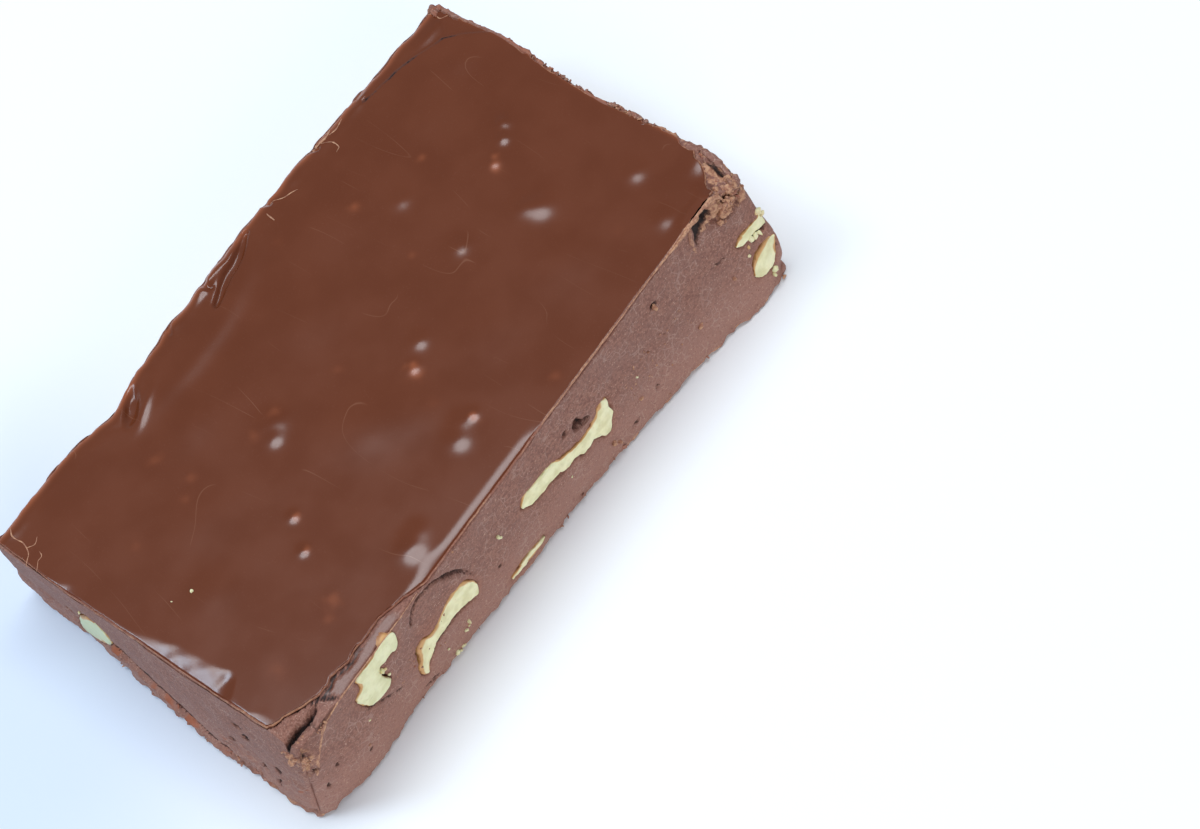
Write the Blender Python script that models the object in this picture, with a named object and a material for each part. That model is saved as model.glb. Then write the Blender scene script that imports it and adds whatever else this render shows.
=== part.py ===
"""A hand-cut slice of chocolate fudge with walnut pieces, lying on its base.

The slice is laid out in an even box first: fudge, walnut pieces and the pockets that hold them.
One function, uneven(), then moves every point of that box to where the hand-cut slice has it,
so the pieces stay flush with the cut walls.

+X runs along the slice, +Y across it and +Z up.  The origin is the middle of the base.
Walls: front is -Y, back is +Y, left is -X and right is +X.
"""

import math

import bmesh
import bpy
import numpy as np

MM = 0.001

# Driving dimensions of the even box, in millimetres
LENGTH = 90.0
WIDTH = 51.0
HEIGHT = 20.0
EDGE_RADIUS = 1.0
CELL = 2.5

# Walnut pieces
CLEARANCE = 0.3
PROUD = 0.15
CUT_OUTSIDE = 1.5
NUT_STATIONS = 10
FRONT_POINTS = 3
BACK_POINTS = 5

# How far each corner of the hand-cut slice lies from the even box's corner (x, y, z),
# bottom corner first, then top corner
CORNER_SHIFT = {
    (-1, -1): ((-0.4, 1.45, 0.0), (1.8, 0.05, -0.8)),
    (1, -1): ((1.0, -2.95, 0.0), (0.3, 2.55, 0.3)),
    (-1, 1): ((1.0, 2.85, 0.0), (0.8, -0.35, -1.7)),
    (1, 1): ((1.6, 2.25, 0.0), (1.1, 1.25, -0.3)),
}

# Walnut pieces: name, wall, depth, then a spine of stations across the cut wall, each
# (along the wall, height, half width left of the spine, half width right of it)
NUTS = [
    ("walnut_front_hook", "front", 4.5, [
        (-27.2, 16.9, 1.5, 1.4), (-29.2, 17.0, 1.8, 1.5), (-31.4, 16.9, 1.2, 1.5),
        (-32.6, 15.2, 1.4, 1.6), (-32.2, 13.2, 1.8, 1.9), (-31.0, 10.9, 1.1, 1.2)]),
    ("walnut_front_arch", "front", 5.0, [
        (-24.8, 4.0, 0.4, 0.4), (-24.5, 6.4, 0.9, 1.0), (-22.8, 8.7, 1.4, 1.5),
        (-20.2, 9.7, 1.6, 1.7), (-17.6, 10.1, 2.1, 2.1), (-15.6, 9.0, 1.9, 1.5),
        (-14.8, 7.2, 0.5, 0.5)]),
    ("walnut_front_long", "front", 5.0, [
        (-4.0, 11.5, 0.8, 0.8), (-2.4, 11.6, 1.6, 1.6), (0.6, 11.2, 1.5, 1.4),
        (3.4, 10.4, 1.5, 1.5), (6.4, 9.6, 1.1, 1.2), (9.2, 9.1, 1.3, 1.4),
        (11.3, 9.0, 2.2, 2.4), (12.9, 9.2, 2.8, 2.8)]),
    ("walnut_front_sliver", "front", 2.4, [
        (-9.4, 2.2, 0.3, 0.3), (-7.2, 2.4, 0.5, 0.5), (-4.6, 2.4, 0.5, 0.5),
        (-2.9, 2.6, 0.3, 0.3)]),
    ("walnut_corner_strip", "front", 3.6, [
        (39.3, 11.0, 0.4, 0.4), (40.6, 10.9, 0.7, 0.7), (42.8, 10.6, 0.7, 0.6),
        (45.0, 10.4, 1.2, 1.2)]),
    ("walnut_front_oval", "front", 4.0, [
        (39.4, 4.9, 0.6, 0.6), (40.5, 5.1, 1.6, 1.6), (41.9, 5.5, 1.8, 1.8),
        (43.2, 6.0, 1.3, 1.3), (43.6, 6.3, 0.4, 0.4)]),
    ("walnut_left_chunk", "left", 4.0, [
        (14.3, 3.2, 0.6, 0.6), (13.0, 4.6, 1.8, 1.8), (11.5, 7.0, 2.6, 2.5),
        (10.3, 9.8, 2.3, 2.4), (9.5, 12.6, 0.9, 0.9)]),
    ("walnut_back_wave", "back", 5.0, [
        (-30.0, 7.2, 0.5, 0.5), (-27.4, 8.6, 1.6, 1.3), (-24.2, 8.4, 1.4, 1.5),
        (-21.0, 7.0, 1.2, 1.6), (-18.2, 7.4, 0.6, 0.6)]),
    ("walnut_back_arch", "back", 5.0, [
        (-3.4, 9.0, 0.5, 0.5), (-1.6, 11.8, 1.3, 1.2), (1.4, 13.4, 1.7, 1.6),
        (4.6, 12.6, 1.7, 1.4), (6.4, 10.0, 0.6, 0.6)]),
    ("walnut_back_strip", "back", 4.0, [
        (19.0, 5.6, 0.5, 0.5), (22.0, 6.0, 1.3, 1.1), (25.6, 5.0, 1.5, 1.2),
        (28.6, 5.2, 0.5, 0.5)]),
    ("walnut_back_oval", "back", 4.0, [
        (34.6, 12.2, 0.6, 0.6), (36.4, 12.6, 1.8, 1.7), (38.4, 13.2, 1.5, 1.5),
        (39.8, 13.6, 0.5, 0.5)]),
    ("walnut_right_hook", "right", 4.5, [
        (14.6, 6.0, 0.6, 0.6), (12.4, 7.6, 1.7, 1.5), (9.4, 8.8, 1.6, 1.7),
        (6.6, 7.8, 1.7, 1.4), (5.2, 5.6, 0.6, 0.6)]),
    ("walnut_right_oval", "right", 4.0, [
        (-6.0, 12.0, 0.6, 0.6), (-7.8, 12.3, 1.6, 1.6), (-9.8, 12.0, 1.5, 1.5),
        (-11.4, 11.4, 0.5, 0.5)]),
]

# Piece that lies open on two walls, so its last station isn't rounded off
CORNER_PIECE = "walnut_corner_strip"


def clear_scene():
    """Remove every object of the scene."""
    for item in list(bpy.data.objects):
        bpy.data.objects.remove(item, do_unlink=True)


def material(name, colour, roughness):
    """Make a plain Principled material that isn't metal."""
    made = bpy.data.materials.new(name)
    made.use_nodes = True
    shader = made.node_tree.nodes["Principled BSDF"]
    shader.inputs["Base Color"].default_value = (*colour, 1.0)
    shader.inputs["Roughness"].default_value = roughness
    shader.inputs["Metallic"].default_value = 0.0
    made.diffuse_color = (*colour, 1.0)
    return made


def hill(value, middle, reach):
    """Height 1 at the middle, falling like a bell over the reach."""
    return np.exp(-((value - middle) / reach) ** 2)


def ease(value):
    """Smooth step from 0 to 1."""
    part = np.clip(value, 0.0, 1.0)
    return part * part * (3.0 - 2.0 * part)


def uneven(points):
    """Move points of the even box to where the hand-cut slice has them (mm in, mm out).

    The eight corner shifts are blended across the box.  Then each wall swells and dips:
    by an amount that depends on the place along it and the height, and that fades inwards.
    Last, the poured top gets its low swells and the corners their broken patches.
    """
    x = points[:, 0]
    y = points[:, 1]
    z = points[:, 2]
    along = x / LENGTH + 0.5
    across = y / WIDTH + 0.5
    up = z / HEIGHT
    moved = points.copy()
    for (side_x, side_y), (low, high) in CORNER_SHIFT.items():
        share_x = along if side_x > 0 else 1.0 - along
        share_y = across if side_y > 0 else 1.0 - across
        for shift, share_z in ((low, 1.0 - up), (high, up)):
            moved += (share_x * share_y * share_z)[:, None] * np.array(shift)

    near_front = ease(1.0 - across * 2.5) * np.clip(1.0 - up, 0.0, 1.0) ** 1.3
    front_foot = 1.5 * hill(x, -37.0, 7.0) - 0.9 * hill(x, 12.0, 18.0) + 0.9 * hill(x, 39.0, 5.0)
    moved[:, 1] -= near_front * front_foot

    near_left = ease(1.0 - along * 2.5) * np.clip(1.0 - up, 0.0, 1.0) ** 0.8
    left_foot = 1.7 * hill(y, -8.0, 17.0) + 0.8 * hill(y, -22.0, 5.0)
    moved[:, 0] -= near_left * left_foot

    near_back = ease(across * 2.5 - 1.5) * ease(up * 1.6 - 0.2)
    back_lip = 0.9 * hill(x, 9.0, 16.0) - 1.5 * hill(x, -23.5, 4.0)
    back_foot = 0.7 * hill(x, -12.0, 10.0) - 0.6 * hill(x, 20.0, 9.0)
    moved[:, 1] += near_back * back_lip
    moved[:, 1] += ease(across * 2.5 - 1.5) * (1.0 - ease(up * 1.6)) * back_foot

    near_right = ease(along * 2.5 - 1.5)
    right_swell = 0.7 * hill(y, 13.0, 6.0) - 0.5 * hill(y, -2.0, 8.0)
    moved[:, 0] += near_right * right_swell * ease(up * 1.5)

    skin = ease(up * 4.0 - 3.0)
    swell = 0.22 * np.sin(x / 9.0 + 0.8) * np.cos(y / 8.0 - 0.4)
    swell += 0.16 * np.sin(x / 5.3 - y / 7.1)
    rim_drop = 0.9 * hill(x, -LENGTH / 2.0, 2.6) + 0.35 * hill(y, WIDTH / 2.0, 2.0)
    broken = 1.6 * hill(x, 43.5, 3.6) * hill(y, -WIDTH / 2.0, 3.0)
    crevice = 0.9 * hill(x, -42.0, 4.0) * hill(y, -24.0, 1.6)
    moved[:, 2] += skin * (swell - rim_drop - broken - crevice)
    return moved


def edge_lines(size):
    """Grid lines from one side of the box to the other, closer at the rounded edges."""
    turn = [1.0 - math.tan(math.radians(a)) for a in (45.0, 22.5, 0.0)]
    start = [EDGE_RADIUS * step for step in turn]
    inner = size - 2.0 * EDGE_RADIUS
    cells = max(2, round(inner / CELL))
    middle = [EDGE_RADIUS + inner * step / cells for step in range(1, cells)]
    end = [size - value for value in reversed(start)]
    return np.array(start + middle + end)


def round_edges(points, size):
    """Pull the outer shell of a box in to an edge radius: clamp to the inner box, push out."""
    half = np.array(size) / 2.0
    inner = np.clip(points, -half + EDGE_RADIUS, half - EDGE_RADIUS)
    out = points - inner
    reach = np.linalg.norm(out, axis=1, keepdims=True)
    return inner + out / reach * EDGE_RADIUS


def fudge_mesh():
    """The slice's outside: a grid over the box's six sides, with one flat face underneath."""
    xs = edge_lines(LENGTH) - LENGTH / 2.0
    ys = edge_lines(WIDTH) - WIDTH / 2.0
    zs = edge_lines(HEIGHT) - HEIGHT / 2.0
    last = (len(xs) - 1, len(ys) - 1, len(zs) - 1)
    number = {}
    points = []

    def corner(i, j, k):
        """Give the point of grid lines i, j and k its number, once."""
        if (i, j, k) not in number:
            number[(i, j, k)] = len(points)
            points.append((xs[i], ys[j], zs[k]))
        return number[(i, j, k)]

    faces = []
    for i in range(last[0]):
        for j in range(last[1]):
            top = [(i, j), (i + 1, j), (i + 1, j + 1), (i, j + 1)]
            faces.append([corner(a, b, last[2]) for a, b in top])
            if i < 2 or j < 2 or i >= last[0] - 2 or j >= last[1] - 2:
                faces.append([corner(a, b, 0) for a, b in reversed(top)])
    for k in range(last[2]):
        for i in range(last[0]):
            for j, flip in ((0, False), (last[1], True)):
                ring = [(i, k), (i + 1, k), (i + 1, k + 1), (i, k + 1)]
                ring = ring[::-1] if flip else ring
                faces.append([corner(a, j, b) for a, b in ring])
        for j in range(last[1]):
            for i, flip in ((0, True), (last[0], False)):
                ring = [(j, k), (j + 1, k), (j + 1, k + 1), (j, k + 1)]
                ring = ring[::-1] if flip else ring
                faces.append([corner(i, a, b) for a, b in ring])

    low_x = 2
    high_x = last[0] - 2
    low_y = 2
    high_y = last[1] - 2
    base = [(low_x, j) for j in range(low_y, high_y)]
    base += [(i, high_y) for i in range(low_x, high_x)]
    base += [(high_x, j) for j in range(high_y, low_y, -1)]
    base += [(i, low_y) for i in range(high_x, low_x, -1)]
    faces.append([corner(i, j, 0) for i, j in base])

    shell = round_edges(np.array(points), (LENGTH, WIDTH, HEIGHT))
    shell[:, 2] += HEIGHT / 2.0
    return uneven(shell), faces


def smooth_path(stations, count):
    """Catmull-Rom curve through the stations, read at evenly spaced places."""
    knots = np.array(stations, dtype=float)
    first = 2.0 * knots[0] - knots[1]
    final = 2.0 * knots[-1] - knots[-2]
    knots = np.vstack([first, knots, final])
    spans = len(stations) - 1
    place = np.linspace(0.0, spans - 1e-9, count)
    span = place.astype(int)
    t = (place - span)[:, None]
    a, b, c, d = (knots[span + step] for step in range(4))
    return 0.5 * (2.0 * b + (c - a) * t + (2.0 * a - 5.0 * b + 4.0 * c - d) * t ** 2
                  + (3.0 * b - a - 3.0 * c + d) * t ** 3)


def to_wall(along, height, depth, wall):
    """Place of a point that lies so far along a wall, so high, and so deep behind it."""
    if wall == "front":
        columns = (along, depth - WIDTH / 2.0, height)
    elif wall == "back":
        columns = (along, WIDTH / 2.0 - depth, height)
    elif wall == "left":
        columns = (depth - LENGTH / 2.0, along, height)
    else:
        columns = (LENGTH / 2.0 - depth, along, height)
    return np.stack(columns, axis=1)


def nut_mesh(wall, depth, stations, grow, front, open_end):
    """A walnut piece: a flat front and a half-round back, carried along the spine.

    Each station is a ring of points: across the front from left to right, then round the
    back along half an ellipse.  grow widens and lengthens the piece on every side but the
    front, which lies at the given depth.  The two ends are closed with one face each.
    """
    path = smooth_path(stations, NUT_STATIONS)
    heading = np.gradient(path[:, :2], axis=0)
    heading /= np.linalg.norm(heading, axis=1, keepdims=True)
    path[0, :2] -= heading[0] * grow
    path[-1, :2] += heading[-1] * (CUT_OUTSIDE if open_end and grow else grow)
    left = np.stack([-heading[:, 1], heading[:, 0]], axis=1)
    run = np.linspace(0.0, 1.0, NUT_STATIONS)
    fullness = np.sin(np.pi * np.clip(run, 0.06, 0.94)) ** 0.5
    if open_end:
        fullness = np.where(run > 0.5, 1.0, fullness)
    rings = []
    for step in range(FRONT_POINTS):
        side = 1.0 - 2.0 * step / (FRONT_POINTS - 1)
        width = np.where(side > 0.0, path[:, 2], path[:, 3]) + grow
        place = path[:, :2] + left * (side * width)[:, None]
        rings.append(to_wall(place[:, 0], place[:, 1], np.full(len(run), front), wall))
    for step in range(BACK_POINTS):
        angle = math.pi * step / (BACK_POINTS - 1)
        side = -math.cos(angle)
        width = np.where(side > 0.0, path[:, 2], path[:, 3]) + grow
        place = path[:, :2] + left * (side * width)[:, None]
        deep = (depth * fullness + grow) * math.sin(angle)
        rings.append(to_wall(place[:, 0], place[:, 1], deep, wall))
    ring_size = len(rings)
    points = np.stack(rings, axis=1).reshape(-1, 3)
    faces = []
    for station in range(NUT_STATIONS - 1):
        for step in range(ring_size):
            here = station * ring_size
            there = here + ring_size
            beside = (step + 1) % ring_size
            faces.append([here + step, here + beside, there + beside, there + step])
    faces.append(list(range(ring_size)))
    faces.append([(NUT_STATIONS - 1) * ring_size + step for step in range(ring_size)])
    return uneven(points), faces


def add_object(name, points, faces, look):
    """Put points (mm) and faces into a named object whose faces look outwards."""
    mesh = bpy.data.meshes.new(name)
    mesh.from_pydata((points * MM).tolist(), [], faces)
    shape = bmesh.new()
    shape.from_mesh(mesh)
    bmesh.ops.recalc_face_normals(shape, faces=shape.faces)
    shape.to_mesh(mesh)
    shape.free()
    if look is not None:
        mesh.materials.append(look)
    made = bpy.data.objects.new(name, mesh)
    bpy.context.collection.objects.link(made)
    return made


def cut_pocket(body, name, points, faces):
    """Cut a walnut piece's pocket out of the fudge."""
    cutter = add_object(name, points, faces, None)
    cutter.hide_render = True
    cutter.display_type = "WIRE"
    cut = body.modifiers.new(name, "BOOLEAN")
    cut.operation = "DIFFERENCE"
    cut.solver = "EXACT"
    cut.object = cutter


def build():
    """Model the slice and its walnut pieces."""
    clear_scene()
    chocolate = material("chocolate_fudge", (0.155, 0.055, 0.033), 0.45)
    kernel = material("walnut_kernel", (0.72, 0.66, 0.45), 0.55)
    shell, shell_faces = fudge_mesh()
    body = add_object("fudge", shell, shell_faces, chocolate)
    for name, wall, depth, stations in NUTS:
        open_end = name == CORNER_PIECE
        points, faces = nut_mesh(wall, depth, stations, 0.0, -PROUD, open_end)
        add_object(name, points, faces, kernel)
        points, faces = nut_mesh(wall, depth, stations, CLEARANCE, -CUT_OUTSIDE, open_end)
        cut_pocket(body, name + "_pocket", points, faces)


build()
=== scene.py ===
import math

import bpy
import numpy as np
from mathutils import Euler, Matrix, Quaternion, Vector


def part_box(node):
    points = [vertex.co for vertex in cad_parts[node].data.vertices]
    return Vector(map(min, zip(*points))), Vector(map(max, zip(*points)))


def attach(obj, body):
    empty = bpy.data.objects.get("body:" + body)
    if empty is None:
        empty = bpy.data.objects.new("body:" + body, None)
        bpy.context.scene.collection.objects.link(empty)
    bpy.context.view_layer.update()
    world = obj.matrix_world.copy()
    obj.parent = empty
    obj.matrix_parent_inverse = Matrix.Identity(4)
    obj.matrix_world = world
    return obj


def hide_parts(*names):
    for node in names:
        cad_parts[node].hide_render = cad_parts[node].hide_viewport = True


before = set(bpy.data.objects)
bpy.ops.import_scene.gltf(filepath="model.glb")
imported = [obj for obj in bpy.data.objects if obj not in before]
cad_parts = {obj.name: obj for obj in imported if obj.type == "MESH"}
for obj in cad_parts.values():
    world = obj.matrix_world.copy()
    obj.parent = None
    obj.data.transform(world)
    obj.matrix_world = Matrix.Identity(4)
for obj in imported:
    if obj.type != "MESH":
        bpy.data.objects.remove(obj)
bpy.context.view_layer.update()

# ---------------------------------------------------------------------------------------
# The cut block.  Fudge boiled, beaten and set in a tin, then cut by hand: dense matte
# walls that the knife dragged through, broken corners, a ragged foot and a flat base.
# It is laid out in the even box that the knife was meant to cut, in mm, and one function
# moves that box to the uneven one that it did cut.
# ---------------------------------------------------------------------------------------
MM = 0.001
LENGTH = 90.0
WIDTH = 51.0
HEIGHT = 20.0
box_low, box_high = (np.array(corner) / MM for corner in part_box("fudge"))

# Inset of each corner of the cut slice from the side of the solid's box, at foot and top
FOOT_INSET = {(-1, -1): (1.4, 4.64), (1, -1): (0.77, 0.24), (-1, 1): (2.8, 0.34), (1, 1): (0.17, 0.94)}
TOP_INSET = {(-1, -1): (3.6, 3.24), (1, -1): (1.47, 5.74), (-1, 1): (2.6, 3.54), (1, 1): (0.67, 1.94)}
TOP_LEVEL = {(-1, -1): 19.2, (1, -1): 20.3, (-1, 1): 18.3, (1, 1): 19.7}


def bell(value, middle, reach):
    """Bell curve of height 1 at the middle: e to the minus square of distance over reach."""
    return np.exp(-((value - middle) / reach) ** 2)


def ease(value):
    """Smooth step 3t^2 - 2t^3 from 0 at 0 to 1 at 1."""
    part = np.clip(value, 0.0, 1.0)
    return part * part * (3.0 - 2.0 * part)


def cast(cell, seed):
    """Random number from -1 to 1 for each cell of a cubic lattice, by mixing its indices."""
    key = cell @ np.array([73856093, 19349663, 83492791]) + seed * 7919
    key = (key ^ key >> 13) * 1274126177 & 0x7FFFFFFF
    key = (key ^ key >> 15) * 2246822519 & 0x7FFFFFFF
    return (key >> 7 & 0xFFFF) / 32767.5 - 1.0


def grain(points, size, seed):
    """Random field from -1 to 1 whose features have the given size.

    A random height sits at each corner of a cubic lattice.  Between the corners the eight
    heights are blended with the smooth step along each axis.
    """
    place = points / size + 31.7 * seed
    cell = np.floor(place).astype(np.int64)
    part = place - cell
    part = part * part * (3.0 - 2.0 * part)
    total = np.zeros(place.shape[:-1])
    for corner in range(8):
        step = np.array([corner & 1, corner >> 1 & 1, corner >> 2 & 1])
        total += cast(cell + step, seed) * np.where(step, part, 1.0 - part).prod(axis=-1)
    return total


def cobble(points, size, seed):
    """Random field from about -1 to 1 of broken lumps of the given size.

    Each spot takes the random height of the nearest point of a jittered lattice, less its
    distance from it, so that the lumps are domed and meet in steps.
    """
    place = points / size + 17.3 * seed
    cell = np.floor(place).astype(np.int64)
    nearest = np.full(place.shape[:-1], 9.0)
    tall = np.zeros(place.shape[:-1])
    for corner in range(27):
        other = cell + np.array([corner % 3, corner // 3 % 3, corner // 9]) - 1
        jitter = np.stack([cast(other, seed + turn) for turn in (1, 2, 3)], axis=-1)
        distance = np.linalg.norm(place - other - 0.5 - 0.4 * jitter, axis=-1)
        tall = np.where(distance < nearest, cast(other, seed), tall)
        nearest = np.minimum(nearest, distance)
    return 0.75 * tall + 0.45 - 0.9 * nearest


def cut_by_hand(even):
    """Where the cut slice has a point of the even box (last axis x, y, z in mm).

    The eight corners are blended by the point's share of length, width and height.  Then
    each wall swells and dips by bell curves along it, fading with height and inwards.
    """
    x, y, z = np.moveaxis(even, -1, 0)
    along = x / LENGTH + 0.5
    across = y / WIDTH + 0.5
    up = z / HEIGHT
    cut = np.zeros_like(even)
    for side, inset in FOOT_INSET.items():
        share = np.where(side[0] > 0, along, 1.0 - along) * np.where(side[1] > 0, across, 1.0 - across)
        for level, (in_x, in_y), part in ((0.0, inset, 1.0 - up), (TOP_LEVEL[side], TOP_INSET[side], up)):
            corner = np.where(np.array(side) > 0, box_high[:2] - (in_x, in_y), box_low[:2] + (in_x, in_y))
            cut[..., :2] += (share * part)[..., None] * corner
            cut[..., 2] += share * part * level
    down = np.clip(1.0 - up, 0.0, 1.0)
    front_foot = 1.5 * bell(x, -37.0, 7.0) - 0.9 * bell(x, 12.0, 18.0) + 0.9 * bell(x, 39.0, 5.0)
    cut[..., 1] -= ease(1.0 - across * 2.5) * down ** 1.3 * front_foot
    left_foot = 1.7 * bell(y, -8.0, 17.0) + 0.8 * bell(y, -22.0, 5.0)
    cut[..., 0] -= ease(1.0 - along * 2.5) * down ** 0.8 * left_foot
    near_back = ease(across * 2.5 - 1.5)
    back_lip = 0.9 * bell(x, 9.0, 16.0) - 1.5 * bell(x, -23.5, 4.0)
    back_foot = 0.7 * bell(x, -12.0, 10.0) - 0.6 * bell(x, 20.0, 9.0)
    cut[..., 1] += near_back * (ease(up * 1.6 - 0.2) * back_lip + (1.0 - ease(up * 1.6)) * back_foot)
    waves = np.stack([x, 0.4 * z, 0.0 * x], axis=-1)
    cut[..., 1] += near_back * (0.22 * grain(waves, 3.6, 44) + 0.13 * grain(waves, 1.4, 45)) * ease(up * 1.4)
    right_swell = 0.7 * bell(y, 13.0, 6.0) - 0.5 * bell(y, -2.0, 8.0)
    cut[..., 0] += ease(along * 2.5 - 1.5) * right_swell * ease(up * 1.5)
    return cut


def on_wall(along, height, depth, wall):
    """Point of the even box that lies so far along a wall, so high and so deep behind it."""
    along, height, depth = np.broadcast_arrays(along, height, depth)
    columns = {"front": (along, depth - WIDTH / 2.0, height), "back": (along, WIDTH / 2.0 - depth, height),
               "left": (depth - LENGTH / 2.0, along, height), "right": (LENGTH / 2.0 - depth, along, height)}
    return np.stack(columns[wall], axis=-1)


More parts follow.
